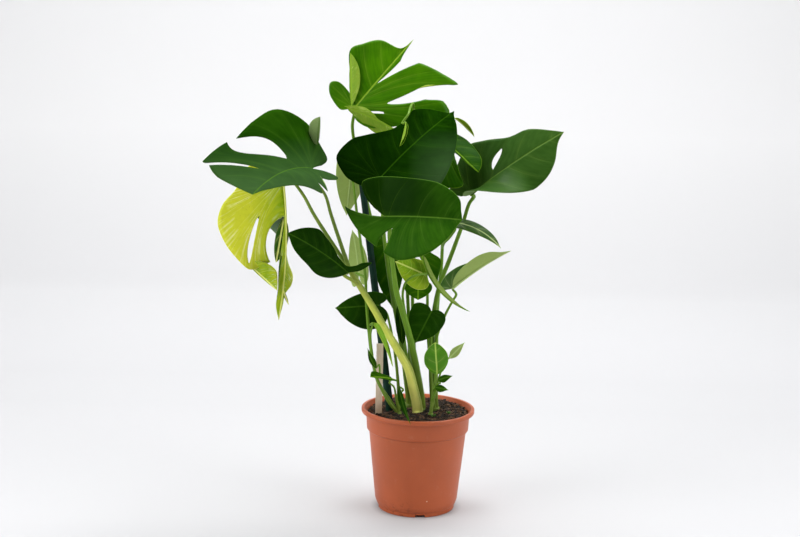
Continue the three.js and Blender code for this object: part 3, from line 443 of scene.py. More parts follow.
def half_grid(half, side, shape, rows, finer, rng):
    """Flat places, lifts and marks of one half: arrays of columns by rows."""
    margin = Margin(half.get("margin", HEART))
    splits = half.get("splits", [])
    veins = vein_columns(margin, splits)
    outs = np.array([row_places(column, splits, rows) for column in veins])
    ats = np.array([[column[0]] * (rows + 1) for column in veins], float)
    for row, (at, lip, split) in enumerate(veins):
        if split:
            ats[row] += lip * split_opening(split, outs[row])
    columns, gaps = [], []
    for i in range(len(veins) - 1):
        lips = veins[i][2] is not None and veins[i][1] < 0
        steps = 1 if lips else finer
        for step in range(steps):
            part = step / steps
            columns.append((ats[i] * (1 - part) + ats[i + 1] * part,
                            outs[i] * (1 - part) + outs[i + 1] * part,
                            part if not lips else 0.0, i))
            gaps.append(lips)
    columns.append((ats[-1], outs[-1], 0.0, len(veins) - 1))
    at = np.array([column[0] for column in columns])
    out = np.array([column[1] for column in columns])
    part = np.array([column[2] for column in columns])[:, None]
    number = np.array([column[3] + column[2] for column in columns])[:, None]
    edge, start, bow = margin.at(at)
    start = start * shape.length
    back = np.where(edge[..., 0] < 0, half.get("back", 1), 1)
    reach_u = edge[..., 0] * back * shape.length - start
    reach_v = edge[..., 1] * half["width"]
    bulge = bow * 4 * out * (1 - out)
    u = start + reach_u * out - reach_v * bulge
    v = (reach_v * out + reach_u * bulge) * side
    size = min(1.0, half["width"] / 60)
    phase, turns = rng.uniform(0, 6.3), rng.uniform(2.2, 3.4)
    wave = WAVE * half["width"] * out ** 2 * np.sin(2 * math.pi * turns * at + phase)
    wave = wave * np.sqrt(np.clip(np.sin(math.pi * np.clip(at, 0, 1)), 0, 1))
    swell = SWELL * size * np.sin(math.pi * part) ** 2 * np.sin(math.pi * np.clip(out, 0, 1)) ** 0.5
    spot = np.stack([u, v], -1)
    main = np.round(number + 0.001)
    nearest = np.clip(np.searchsorted(number[:, 0], main[:, 0] - 1e-6), 0, len(number) - 1)
    vein = np.linalg.norm(spot - spot[nearest], axis=-1)
    rim = np.linalg.norm(spot - spot[:, -1:], axis=-1)
    return {"u": u, "v": v, "lift": wave + swell, "vein": vein, "rim": rim, "out": out,
            "number": np.broadcast_to(number, u.shape), "gaps": gaps}


print("half grids ready")

# %% [markdown]
# ## Closing a blade
#
# The two halves share the points of the midrib. The sheet gets a second face below the first, and the two
# faces draw together at the margin, so the edge is thin and slightly rounded, as on the real leaf. The
# marks that the finish needs are kept on the points: how far the point is from the midrib, from the nearest
# vein and from the rim, and which face it lies on.

# %% Two halves into one closed blade
BLADE_THICKNESS = 0.8
RIM_THICKNESS = 0.3


def blade_mesh(leaf, rows, finer, seed):
    """Points, faces and marks of a closed blade."""
    rng = random.Random(seed)
    shape = Shape(leaf)
    points, marks, triangles, quads, found = [], [], [], [], {}
    halves = []
    for key, side in (("left", 1), ("right", -1)):
        half = leaf[key]
        grid = half_grid(half, side, shape, rows, finer, rng)
        spots = shape.place(grid["u"], grid["v"], half, grid["lift"])
        ids = np.zeros(grid["u"].shape, int)
        for i, j in np.ndindex(ids.shape):
            at = (round(grid["u"][i, j] * 50), round(grid["v"][i, j] * 50))
            if at not in found:
                found[at] = len(points)
                points.append(spots[i, j])
                rib = abs(grid["v"][i, j])
                marks.append((rib, *[grid[key][i, j] for key in ("vein", "rim", "number", "out")]))
            ids[i, j] = found[at]
        halves.append((side, grid, ids))
    ribs = {}
    for _, grid, ids in halves:
        for i in range(len(ids)):
            ribs[ids[i, 0]] = grid["u"][i, 0]
    line = sorted(ribs, key=ribs.get)

    def add(corners, side):
        kept = [corner for k, corner in enumerate(corners) if corner != corners[k - 1]]
        if len(kept) > 2:
            (quads if len(kept) > 3 else triangles).append(kept if side < 0 else kept[::-1])

    for side, grid, ids in halves:
        for i in range(len(ids) - 1):
            if grid["gaps"][i]:
                continue
            here, there = ids[i], ids[i + 1]
            low, high = grid["u"][i, 0], grid["u"][i + 1, 0]
            between = [rib for rib in line if low + 0.01 < ribs[rib] < high - 0.01]
            rib = [here[0], *between, there[0]]
            for k in range(len(rib) - 1):
                add([rib[k], here[1], rib[k + 1]], side)
            add([here[1], there[1], there[0]], side)
            for j in range(1, rows):
                add([here[j], here[j + 1], there[j + 1], there[j]], side)
    return close_sheet(np.array(points), [*triangles, *quads], np.array(marks), shape)


def close_sheet(points, faces, marks, shape):
    """Gives the sheet its second face and the wall round its margin."""
    normals = np.zeros_like(points)
    open_edges = {}
    for face in faces:
        corners = points[face]
        normal = np.cross(corners[1] - corners[0], corners[2] - corners[0])
        if len(face) > 3:
            normal = normal + np.cross(corners[2] - corners[0], corners[3] - corners[0])
        for k, corner in enumerate(face):
            normals[corner] += normal
            edge = (face[k], face[(k + 1) % len(face)])
            if edge[::-1] in open_edges:
                del open_edges[edge[::-1]]
            else:
                open_edges[edge] = True
    normals /= np.maximum(np.linalg.norm(normals, axis=1, keepdims=True), 1e-9)
    half = np.full(len(points), BLADE_THICKNESS / 2)
    half[sorted({corner for edge in open_edges for corner in edge})] = RIM_THICKNESS / 2
    count = len(points)
    both = np.concatenate([points + normals * half[:, None], points - normals * half[:, None]])
    closed = [*faces, *[[corner + count for corner in face[::-1]] for face in faces]]
    closed += [[there, here, here + count, there + count] for here, there in open_edges]
    side = np.concatenate([np.ones(count), np.zeros(count)])
    twice = np.concatenate([marks, marks])
    near = np.stack([twice[:, 0], twice[:, 1], twice[:, 2]], -1)
    grain = np.stack([twice[:, 3], twice[:, 4], side], -1)
    return both, closed, {"near": near, "grain": grain}, shape


# %% [markdown]
# The midrib stands out below the blade as a rounded ridge, thick at the joint and fine at the tip. It is a
# half-round bar laid under the blade, its flat top sunk a little into it, because a ridge pushed out of the
# sheet itself would need a far finer grid.

# %% The midrib below the blade
RIB_SIDES = 8
RIB_STEPS = 26
RIB_FLAT = -0.1


def rib_points(shape, leaf, radius):
    """A tapering half-round bar under the midrib, closed at both ends."""
    places = np.linspace(0.0, 0.97, RIB_STEPS)
    rings = []
    for place in places:
        thick = radius * (1 - place) ** 0.8 + 0.35
        centre = shape.place(np.array(place * shape.length), np.array(0.0), leaf["left"])
        ahead = shape.place(np.array((place + 0.01) * shape.length), np.array(0.0), leaf["left"])
        forward = (ahead - centre) / np.linalg.norm(ahead - centre)
        below = -np.cross(forward, shape.across)
        rings.append([centre + shape.across * thick * math.cos(turn) * 0.9
                      + below * thick * max(RIB_FLAT, math.sin(turn))
                      for turn in np.linspace(0, 2 * math.pi, RIB_SIDES, endpoint=False)])
    return np.array(rings).reshape(-1, 3)


def tube_faces(rings, sides, offset=0):
    """Quads between rings of points, with a fan of triangles over each end."""
    faces = []
    for i in range(rings - 1):
        for k in range(sides):
            a, b = offset + i * sides + k, offset + i * sides + (k + 1) % sides
            faces.append([a, b, b + sides, a + sides])
    last = offset + (rings - 1) * sides
    faces += [[offset, offset + k + 1, offset + k] for k in range(1, sides - 1)]
    faces += [[last, last + k, last + k + 1] for k in range(1, sides - 1)]
    return faces


print("blades can be closed")

# %% [markdown]
# ## Leaf finishes
#
# The upper side of a monstera leaf is dark and glossy, the underside paler and dull. Side veins show as
# thin pale lines, the midrib as a broader one, and the very edge is a light line. All four come from the
# marks on the mesh, so they follow the growth of each leaf. A picture would have to be painted for each of
# them.

# %% One function for every leaf colour
# How dark the painted shade makes the upper side, as a share of its dark tone.
PAINTED_SHADE_LEVEL = 0.35
# The grey of the painted reflection of the soft boxes on the upper side.
PAINTED_SHEEN_GREY = srgb(70, 98, 60)


def leaf_finish(name, dark, light, under, vein, gloss=0.3, shine=0.09, vein_strength=0.3, rib_strength=0.9,
                patches=None, pimples=0.08, shade=None, painted_sheen=None):
    """dark and light are the two tones of the upper side; under is the lower side's, vein the vein's.

    patches are the two tones that an underside is streaked with: one pale, a painted highlight along the
    veins, and one green, laid towards the midrib and in broad patches. The last two arguments are functions
    of x and z: where the upper side is darkened as painted shade, and where it is greyed by a painted
    reflection of the soft boxes."""
    finish = Finish(name)
    rib, to_vein, rim = finish.read("near")
    number, out, upper = finish.read("grain")
    broad = finish.noise(14, 3)
    cells = finish.noise(160, 4)
    streak = finish.node("TexNoise", Vector=finish.node(
        "CombineXYZ", X=number * 7.0, Y=out * 2.2, Z=rib * 0.002), Scale=1.0, Detail=2.0)
    tone = (broad.fade(0.36, 0.68) * 0.5 + streak.fade(0.35, 0.7) * 0.3 + cells * 0.15).clamped()
    top = finish.mix(tone, dark, light)
    fresh = (1 - to_vein.fade(0.0, 7.0)) * 0.1 * (1 - out.fade(0.55, 1.0))
    top = finish.mix(fresh, top, vein)
    # Painted shade: the upper side is darkened by position, where less light falls on it.
    if shade:
        x, _, z = finish.axes()
        top = finish.mix(shade(x, z), top, tuple(part * PAINTED_SHADE_LEVEL for part in dark))
    # Painted reflection: the upper side is greyed by position where the soft boxes would be seen in it.
    if painted_sheen:
        x, _, z = finish.axes()
        top = finish.mix(painted_sheen(x, z) * (0.5 + broad * 0.5), top, PAINTED_SHEEN_GREY)
    below = finish.mix((cells * 0.5 + broad * 0.5).clamped(), under, tuple(part * 0.72 for part in under))
    if patches:
        pale, green = patches
        inner = (1 - rib.fade(4, 62)) * (0.45 + streak.fade(0.3, 0.65) * 0.75)
        below = finish.mix((inner + broad.fade(0.55, 0.75) * 0.35).clamped(), below, green)
        # Painted highlight: the pale tone is laid in streaks along the veins.
        below = finish.mix(streak.fade(0.52, 0.7) * finish.noise(26, 3).fade(0.42, 0.6) * 0.75, below, pale)
        below = finish.mix(finish.noise(330, 1).fade(0.71, 0.76) * 0.45, below, srgb(128, 104, 30))
    color = finish.mix(upper.above(0.5), below, top)
    side_vein = (1 - to_vein.fade(0.12, 0.75)) * (1 - out.fade(0.5, 0.96) * 0.75)
    main_vein = 1 - rib.fade(0.9, 1.8)
    lines = (side_vein * vein_strength + main_vein * rib_strength).clamped()
    color = finish.mix(lines * (1 - out.above(0.985)), color, vein)
    color = finish.mix((1 - rim.fade(0.35, 1.1)) * 0.7, color, vein)
    groove = (1 - to_vein.fade(0.0, 2.0)) * -0.22 + (1 - rib.fade(0.3, 2.6)) * -0.8
    skin = finish.noise(420, 2)
    relief = finish.bump(groove + skin * 0.05 + cells * pimples, 0.0011, 0.7)
    rough = 0.6 - upper * (0.6 - gloss) + cells * 0.05
    return finish.surface(Base_Color=color, Roughness=rough, Normal=relief, Specular_IOR_Level=shine)


LEAF_FINISHES = {
    "deep": leaf_finish("leaf_deep", srgb(14, 42, 2), srgb(32, 70, 7), srgb(104, 132, 70), srgb(64, 104, 24),
                        vein_strength=0.12, rib_strength=0.6, shine=0.01),
    # leaf_front_upper: its tones, darker than the other leaves', are partly its own deep green and partly
    # painted shade. It is darkened further at the left as painted shade from the crown leaf above, and greyed
    # at the lower right by a painted reflection of the soft boxes.
    "front": leaf_finish("leaf_front", srgb(6, 30, 1), srgb(24, 62, 3), srgb(104, 132, 70), srgb(54, 98, 14),
                         vein_strength=0.12, rib_strength=0.4, shine=0.0,
                         shade=lambda x, z: (1 - x.fade(-0.09, 0.02)) * 0.6,
                         painted_sheen=lambda x, z: x.fade(-0.03, 0.04) * (1 - z.fade(0.63, 0.71)) * 0.7),
    # Painted shade: the upper half of leaf_front_lower, which lies under leaf_front_upper, is darkened
    # towards its left.
    "broad": leaf_finish("leaf_broad", srgb(24, 64, 5), srgb(54, 98, 16), srgb(104, 132, 70),
                         srgb(90, 132, 40), vein_strength=0.16, rib_strength=0.7, shine=0.01,
                         shade=lambda x, z: z.fade(0.553, 0.575) * (1 - x.fade(-0.02, 0.06)) * 0.8),
    # Painted reflection: a grey sheen of the soft boxes on the lower, folded part of leaf_left_large.
    "dark": leaf_finish("leaf_dark", srgb(14, 46, 2), srgb(36, 74, 7), srgb(150, 176, 110), srgb(78, 118, 32),
                        vein_strength=0.12, rib_strength=0.5, shine=0.0,
                        painted_sheen=lambda x, z: (1 - x.fade(-0.16, -0.1)) * (1 - z.fade(0.62, 0.69)) * 0.6),
    "mid": leaf_finish("leaf_mid", srgb(36, 68, 16), srgb(60, 94, 34), srgb(112, 140, 82), srgb(104, 136, 56),
                       vein_strength=0.16, rib_strength=0.5, shine=0.03),
    "fresh": leaf_finish("leaf_fresh", srgb(20, 60, 0), srgb(46, 94, 3), srgb(150, 176, 86),
                         srgb(104, 148, 30), vein_strength=0.22, shine=0.02),
    "bright": leaf_finish("leaf_bright", srgb(38, 88, 0), srgb(78, 136, 2), srgb(166, 190, 66),
                          srgb(140, 178, 44), gloss=0.34, shine=0.1, vein_strength=0.22,
                          patches=(srgb(200, 214, 110), srgb(120, 160, 40))),
    "glossy": leaf_finish("leaf_glossy", srgb(50, 108, 0), srgb(88, 150, 6), srgb(150, 176, 62),
                          srgb(176, 206, 90), gloss=0.3, shine=0.2, vein_strength=0.22),
    "lime": leaf_finish("leaf_lime", srgb(28, 66, 6), srgb(56, 100, 12), srgb(216, 220, 50),
                        srgb(232, 234, 130), gloss=0.4, shine=0.16,
                        patches=(srgb(240, 240, 170), srgb(132, 164, 10))),
    "young": leaf_finish("leaf_young", srgb(160, 190, 24), srgb(180, 206, 40), srgb(186, 208, 40),
                         srgb(206, 220, 110), gloss=0.36, shine=0.16,
                         patches=(srgb(214, 224, 90), srgb(110, 152, 8))),
    "pale": leaf_finish("leaf_pale", srgb(44, 82, 22), srgb(66, 106, 30), srgb(166, 190, 104),
                        srgb(184, 206, 130), gloss=0.36, shine=0.16),
    "rolled": leaf_finish("leaf_rolled", srgb(104, 150, 20), srgb(138, 178, 38), srgb(118, 166, 30),
                          srgb(176, 208, 70), gloss=0.35, shine=0.2, pimples=0.7),
}
print("leaf finishes:", ", ".join(LEAF_FINISHES))

# %% [markdown]
# ## Every leaf
#
# One row for each leaf, from the large ones down: where the stalk meets the blade, where the midrib ends,
# where the upper side looks, and how each half is cut, folded and cupped. left and right are seen from the
# stalk towards the tip with the upper side up. Copies of a few stock leaves would show at once on a plant
# this open, so each leaf has its own numbers, read off the plant leaf by leaf.

# %% The leaves
LEAVES = dict(

    leaf_left_large=dict(
        base=[-198, -60, 635], tip=[-278, -280, 610], face=[-0.15, -0.2, 1], finish="dark", arch=30,
        left=dict(
            width=62, fold=-5, cup=-45, back=0.75,
            margin=[
                [0, 0], [-0.12, 0.1], [-0.22, 0.35], [-0.2, 0.6], [-0.05, 0.78], [0.15, 0.86],
                [0.27, 0.84, 0.1], [0.33, 1.25, 0.2], [0.37, 0.88, 0.25], [0.43, 1.22, 0.3],
                [0.55, 0.97, 0.4],
                [0.66, 0.72], [0.84, 0.36], [0.94, 0.1], [1, 0],
            ],
      ),
        right=dict(
            width=125, fold=[75, 60, 40, 25, 10], cup=-15,
            margin=[
                [0, 0], [-0.2, 0.12], [-0.36, 0.34], [-0.27, 0.53], [-0.2, 0.8], [-0.02, 1.04],
                [0.22, 0.98, 0.08, 0.03], [0.44, 0.96, 0.16, 0], [0.48, 0.99, 0.3, 0], [0.73, 0.98, 0.5, 0],
                [0.76, 0.93, 0.62, 0], [0.85, 0.64, 0.75], [0.95, 0.2, 0.9], [1, 0, 0.95],
            ],
            splits=[dict(at=0.577, begins=0.2, gap=0.17, mouth=0.25), dict(at=0.75, begins=0.25, gap=0.05)],
      ),
        lobes=[
            dict(
                base=[-193, 4, 673], tip=[-188, -8, 725], face=[0.2, 0.9, 0.3], arch=-30,
                left=dict(width=3, fold=0, cup=0, margin=OVAL),
                right=dict(width=25, fold=0, cup=60, margin=OVAL),
          ),
        ],
    ),
    leaf_left_hanging=dict(
        base=[-253, -25, 613], tip=[-255, -60, 361], face=[-1, 0.3, 0], finish="lime", arch=-18,
        left=dict(
            width=120, fold=65, cup=10,
            margin=[
                [0, 0], [-0.1, 0.2], [-0.1, 0.5], [0.05, 0.75], [0.15, 0.93], [0.3, 1.0, 0], [0.46, 0.9, 0],
                [0.57, 0.76, 0], [0.65, 0.58, 0, 0.12], [0.65, 0.42, 0.04, 0.12], [0.62, 0.18, 0.2],
                [0.56, 0.05, 0.29], [0.7, 0.1, 0.4], [0.8, 0.08, 0.5], [0.9, 0.07, 0.7], [1, 0],
            ],
            splits=[
                dict(at=0.547, begins=0.42, ends=0.95, gap=0.055),
                dict(at=0.7, begins=0.08, gap=0.15, mouth=0.3),
            ],
      ),
        right=dict(
            width=110, fold=[55, 55, 50, 20, -10, -10], cup=10,
            margin=[
                [0, 0], [-0.1, 0.2], [-0.15, 0.6], [0, 0.9], [0.2, 0.95], [0.35, 0.75], [0.46, 0.45],
                [0.58, 0.34], [0.67, 0.4], [0.75, 0.22], [0.81, 0.06], [0.9, 0.05], [1, 0],
            ],
      ),
        lobes=[
            dict(
                base=[-250, -32, 543], tip=[-262, -48, 464], face=[0.1, -1, 0.1], arch=10,
                left=dict(width=15, fold=0, cup=-30, margin=OVAL),
                right=dict(width=9, fold=0, cup=-20, margin=OVAL),
          ),
            dict(
                base=[-313, -50, 462], tip=[-258, -60, 415], face=[-0.3, 0.8, 0.6], arch=10,
                left=dict(width=3, fold=0, cup=0, margin=OVAL),
                right=dict(
                    width=27, fold=0, cup=20,
                    margin=[[0, 0], [0.1, 0.5], [0.35, 0.9], [0.65, 1], [0.85, 0.5], [1, 0]],
              ),
          ),
            dict(
                base=[-248, -55, 416], tip=[-238, -52, 388], face=[0.3, -1, 0.3], arch=-25,
                left=dict(width=2.4, fold=0, cup=0, margin=OVAL),
                right=dict(width=2.4, fold=0, cup=0, margin=OVAL),
          ),
        ],
    ),
    leaf_crown=dict(
        base=[-129, 50, 739], tip=[-23, 75, 866], face=[0, -0.95, 0.3], finish="bright", arch=10,
        left=dict(
            width=70, fold=5, cup=0,
            margin=[
                [0, 0], [-0.06, 0.12, 0], [-0.11, 0.3, 0], [-0.06, 0.72, 0], [0.04, 0.92, 0], [0.11, 0.75, 0],
                [0.1, 0.4, 0], [0.05, 0.13, 0], [0.11, 0.2, 0.03], [0.21, 0.51, 0.06], [0.44, 1.06, 0.15],
                [0.61, 0.91, 0.3], [0.76, 0.63, 0.5], [0.83, 0.1, 0.75], [1, 0],
            ],
      ),
        right=dict(
            width=120, fold=5, cup=-10,
            margin=[
                [0, 0], [-0.06, 0.06, 0], [-0.09, 0.2, 0], [-0.04, 0.42, 0], [0.15, 0.69, 0, 0],
                [0.43, 1.03, 0, 0.02], [0.61, 1.19, 0.02, 0.03], [0.68, 0.98, 0.03, 0.05],
                [0.62, 0.78, 0.04, 0.07],
                [0.72, 0.62, 0.06, 0.06], [0.93, 0.98, 0.1, -0.08], [0.9, 0.6, 0.18, -0.05],
                [0.87, 0.32, 0.26, -0.02], [0.74, 0.09, 0.34, 0], [1, 0],
            ],
            splits=[dict(at=0.6, begins=0.42, gap=0.075), dict(at=0.893, begins=0.14, gap=0.085)],
      ),
        lobes=[
            dict(
                base=[-147, 30, 743], tip=[-47, 22, 700], face=[0, 0.85, 0.53], arch=15,
                left=dict(
                    width=31, fold=0, cup=20,
                    margin=[
                        [0, 0], [0.1, 0.2], [0.22, 0.41], [0.4, 0.66], [0.62, 0.99], [0.75, 0.8],
                        [0.87, 0.5], [1, 0],
                    ],
              ),
                right=dict(
                    width=12, fold=10, cup=30,
                    margin=[[0, 0], [0.08, 0.4], [0.3, 1], [0.5, 0.7], [0.6, 0.25], [0.8, 0.1], [1, 0]],
              ),
          ),
            dict(
                base=[-134, 48, 742], tip=[-138, 60, 839], face=[0.45, 0.9, 0], arch=5,
                left=dict(
                    width=17, fold=0, cup=30,
                    margin=[[0, 0], [0.1, 0.35], [0.3, 0.8], [0.5, 1], [0.7, 0.9], [0.88, 0.5], [1, 0]],
              ),
                right=dict(width=4, fold=0, cup=0, margin=OVAL),
          ),
        ],
    ),
    leaf_front_upper=dict(
        base=[-77, -75, 623], tip=[53, 12, 739], face=[-0.1, -0.8, 0.6], finish="front", arch=25,
        left=dict(
            width=85, fold=5, cup=-20,
            margin=[
                [0, 0], [-0.14, 0.12], [-0.18, 0.5], [-0.16, 0.8], [-0.07, 1.18], [0.14, 1.2], [0.26, 1],
                [0.45, 0.62], [0.62, 0.58], [0.74, 0.62], [0.84, 0.44], [0.94, 0.06], [1, 0],
            ],
      ),
        right=dict(width=100, fold=16, cup=-20),
    ),
    leaf_front_lower=dict(
        base=[-66, -135, 562], tip=[64, -185, 565], face=[0, -0.9, 0.42], finish="broad", arch=20,
        backBend=-85,
        left=dict(
            width=68, fold=22, cup=-10,
            margin=[
                [0, 0], [-0.16, 0.2], [-0.36, 0.5], [-0.47, 0.78], [-0.15, 1.0], [0.32, 0.97], [0.68, 0.87],
                [0.93, 0.55], [0.98, 0.2], [1, 0],
            ],
      ),
        right=dict(
            width=82, fold=16, cup=-20,
            margin=[
                [0, 0], [-0.2, 0], [-0.5, 0.01], [-0.62, 0.08], [-0.34, 0.44], [-0.06, 0.74, 0.18],
                [0.1, 0.92, 0.3], [0.3, 1.0, 0.36], [0.5, 0.95, 0.44], [0.7, 0.8], [0.86, 0.5],
                [0.96, 0.14], [1, 0],
            ],
            splits=[dict(at=0.464, begins=0.36, gap=0.085, mouth=0.4)],
      ),
    ),
    leaf_right_large=dict(
        base=[86, -25, 592], tip=[248, -30, 708], face=[0.1, -0.7, 0.7], finish="mid", arch=20,
        left=dict(
            width=90, fold=0, cup=-10,
            margin=[
                [0, 0], [-0.09, 0.12], [-0.14, 0.42], [0.03, 0.78], [0.2, 1.03], [0.36, 0.86, 0.12],
                [0.53, 0.62, 0.2], [0.62, 0.56, 0.26], [0.75, 0.48, 0.5], [0.92, 0.16], [1, 0],
            ],
            splits=[dict(at=0.65, begins=0.2, ends=0.7, gap=0.1)],
      ),
        right=dict(
            width=70, fold=[85, 80, 40, 0, -5, -10], cup=-10,
            margin=[
                [0, 0], [-0.03, 0.1], [-0.04, 0.35], [0.04, 0.7], [0.2, 0.98], [0.45, 0.95],
                [0.65, 0.84], [0.78, 0.6], [0.9, 0.18], [1, 0],
            ],
      ),
    ),
    leaf_right_behind=dict(
        base=[27, 12, 693], tip=[97, -38, 633], face=[0.45, -0.85, 0.25], finish="fresh", arch=10,
        left=dict(
            width=36, fold=0, cup=-10,
            margin=[
                [0, 0], [-0.1, 0.3], [0, 0.7], [0.2, 0.92], [0.4, 1], [0.6, 0.95], [0.8, 0.75],
                [0.93, 0.4], [1, 0],
            ],
      ),
        right=dict(
            width=75, fold=0, cup=-10,
            margin=[
                [0, 0], [0, 0.3, 0], [0.22, 0.6, 0], [0.5, 0.9, 0], [0.75, 1, 0.03], [0.95, 0.82, 0.1],
                [1.04, 0.54, 0.16], [0.87, 0.42, 0.22], [0.67, 0.27, 0.28], [0.45, 0.07, 0.34],
                [0.75, 0.04], [1, 0],
            ],
      ),
    ),
    leaf_back_pale=dict(
        base=[-132, 60, 643], tip=[-141, 50, 540], face=[0, 1, 0.2], finish="pale", arch=20,
        left=dict(width=28, fold=10, cup=-10),
        right=dict(width=28, fold=10, cup=-10),
    ),
    leaf_left_middle=dict(
        base=[-131, -82, 454], tip=[-236, -108, 526], face=[-0.2, -0.6, 0.75], finish="deep", arch=25,
        left=dict(
            width=42, fold=0, cup=-20,
            margin=[
                [0, 0], [0.04, 0.22], [0.1, 0.46], [0.19, 0.74], [0.3, 0.92], [0.44, 0.98], [0.59, 0.87],
                [0.72, 0.73], [0.86, 0.5], [0.96, 0.18], [1, 0],
            ],
      ),
        right=dict(
            width=50, fold=[60, 55, 15, 0, 0, 0], cup=0,
            margin=[
                [0, 0], [-0.08, 0.28], [-0.11, 0.66], [-0.1, 0.88], [-0.03, 0.62], [0.01, 0.34], [0.09, 0.15],
                [0.24, 0.25], [0.36, 0.46], [0.51, 0.68], [0.63, 0.8], [0.75, 0.69], [0.86, 0.48],
                [0.95, 0.2],
                [1, 0],
            ],
      ),
    ),
    leaf_left_edge=dict(
        base=[-114, 0, 437], tip=[-129, 30, 517], face=[0.3, 1, 0.2], finish="pale", arch=20,
        left=dict(width=20, fold=5, cup=0),
        right=dict(width=20, fold=5, cup=0),
    ),
    leaf_left_low=dict(
        base=[-78, -33, 388], tip=[-155, -50, 384], face=[0.1, -1, 0.1], finish="deep", arch=20,
        left=dict(width=45, fold=0, cup=-20),
        right=dict(width=25, fold=0, cup=-20),
    ),
    leaf_new_rolled=dict(
        base=[-84, -80, 364], tip=[-48, -88, 286], face=[0.5, -0.6, 0.4], finish="rolled", arch=18,
        left=dict(width=13, fold=60, cup=60, margin=ROLLED),
        right=dict(width=13, fold=60, cup=60, margin=ROLLED),
    ),
    leaf_left_small=dict(
        base=[-78, -80, 281], tip=[-94, -84, 319], face=[-0.6, -0.7, 0.3], finish="dark", arch=20,
        left=dict(width=6, fold=10, cup=0, margin=LANCE),
        right=dict(width=9, fold=10, cup=0, margin=LANCE),
    ),
    leaf_left_tiny=dict(
        base=[-47, -66, 259], tip=[-88, -90, 267], face=[0, -0.7, 0.7], finish="fresh", arch=20,
        left=dict(width=4, fold=0, cup=-20),
        right=dict(
            width=15, fold=0, cup=-20,
            margin=[[0, 0], [0.1, 0.25], [0.4, 0.55], [0.66, 0.88], [0.82, 1], [0.93, 0.6], [1, 0]],
      ),
    ),
    leaf_right_round=dict(
        base=[20, -18, 375], tip=[-8, -37, 320], face=[0.1, -0.9, 0.3], finish="deep", arch=15,
        left=dict(width=32, fold=0, cup=-20, back=0.6),
        right=dict(width=36, fold=0, cup=-20, back=0.5),
    ),
    leaf_young_round=dict(
        base=[33, -45, 264], tip=[27, -60, 327], face=[0, -0.95, 0.2], finish="glossy", arch=15,
        left=dict(width=22, fold=0, cup=-20, margin=OVAL),
        right=dict(width=22, fold=0, cup=-20, margin=OVAL),
    ),
    leaf_young_behind=dict(
        base=[54, -20, 288], tip=[83, -20, 320], face=[0.4, 1, 0], finish="pale", arch=15,
        left=dict(width=8, fold=10, cup=-20, margin=LANCE),
        right=dict(width=8, fold=10, cup=-20, margin=LANCE),
    ),
    leaf_young_small=dict(
        base=[34, -46, 253], tip=[61, -50, 263], face=[0, -0.7, 0.7], finish="dark", arch=15,
        left=dict(width=8, fold=0, cup=-20, margin=LANCE),
        right=dict(width=8, fold=0, cup=-20, margin=LANCE),
    ),
    leaf_young_low=dict(
        base=[29, -45, 240], tip=[54, -50, 236], face=[0, -0.7, 0.7], finish="dark", arch=15,
        left=dict(width=8, fold=0, cup=-20, margin=LANCE),
        right=dict(width=8, fold=0, cup=-20, margin=LANCE),
    ),
    leaf_right_folded=dict(
        base=[56, -35, 421], tip=[161, -35, 493], face=[-0.4, 0.3, 0.85], finish="pale", arch=15,
        left=dict(
            width=38, fold=[60, 60, 60, 55, 50, 50], cup=0,
            margin=[
                [0, 0], [-0.1, 0.25], [-0.11, 0.6], [0.02, 0.88], [0.2, 0.85], [0.4, 0.72],
                [0.6, 0.5], [0.8, 0.25], [1, 0],
            ],
      ),
        right=dict(
            width=22, fold=68, cup=0,
            margin=[[0, 0], [0.08, 0.45], [0.25, 0.85], [0.5, 1], [0.72, 0.75], [0.88, 0.25], [1, 0]],
      ),
    ),
    leaf_right_drooping=dict(
        base=[57, -30, 541], tip=[140, -66, 501], face=[0.1, -0.5, 1], finish="pale", arch=55,
        left=dict(width=24, fold=0, cup=-20),
        right=dict(width=15, fold=0, cup=-20),
    ),
    leaf_centre_folded=dict(
        base=[1, -60, 485], tip=[87, -90, 390], face=[0.68, -0.3, 0.62], finish="fresh", arch=-65,
        left=dict(
            width=30, fold=50, cup=0,
            margin=[
                [0, 0], [-0.05, 0.3], [0.02, 0.7], [0.1, 0.97], [0.19, 1], [0.28, 0.75],
                [0.36, 0.4], [0.46, 0.16],
                [0.7, 0.1], [1, 0],
            ],
      ),
        right=dict(
            width=10, fold=75, cup=0,
            margin=[[0, 0], [0.03, 0.5], [0.15, 0.9], [0.45, 1], [0.7, 0.8], [0.85, 0.4], [1, 0]],
      ),
    ),
    leaf_centre_lime=dict(
        base=[5, -52, 449], tip=[-48, -62, 473], face=[0, 0.8, -0.4], finish="young", arch=-15,
        left=dict(width=24, fold=0, cup=20),
        right=dict(width=31, fold=0, cup=20),
    ),
    leaf_centre_dark=dict(
        base=[-5, -20, 425], tip=[-5, -25, 397], face=[0, -0.9, 0.3], finish="fresh", arch=15,
        left=dict(width=26, fold=0, cup=-20),
        right=dict(width=26, fold=0, cup=-20),
    ),
    leaf_centre_behind=dict(
        base=[-64, 40, 490], tip=[-52, 18, 373], face=[0, -1, 0.2], finish="fresh", arch=15,
        left=dict(width=30, fold=0, cup=-20),
        right=dict(width=30, fold=0, cup=-20),
    ),
    leaf_centre_narrow=dict(
        base=[-31, 2, 309], tip=[-41, -4, 387], face=[0, -1, 0.1], finish="dark", arch=10,
        left=dict(width=9, fold=10, cup=0, margin=OVAL),
        right=dict(width=9, fold=10, cup=0, margin=OVAL),
    ),
    sheath_withered=dict(
        base=[-36, -46, 240], tip=[-14, -111, 187], face=[-0.6, -0.5, 0.5], finish="deep", arch=25,
        left=dict(width=7, fold=20, cup=0, margin=LANCE),
        right=dict(width=7, fold=20, cup=0, margin=LANCE),
    ),
    leaf_crown_young=dict(
        base=[55, 30, 726], tip=[91, 20, 693], face=[0.6, 0.6, 0.6], finish="young", arch=15,
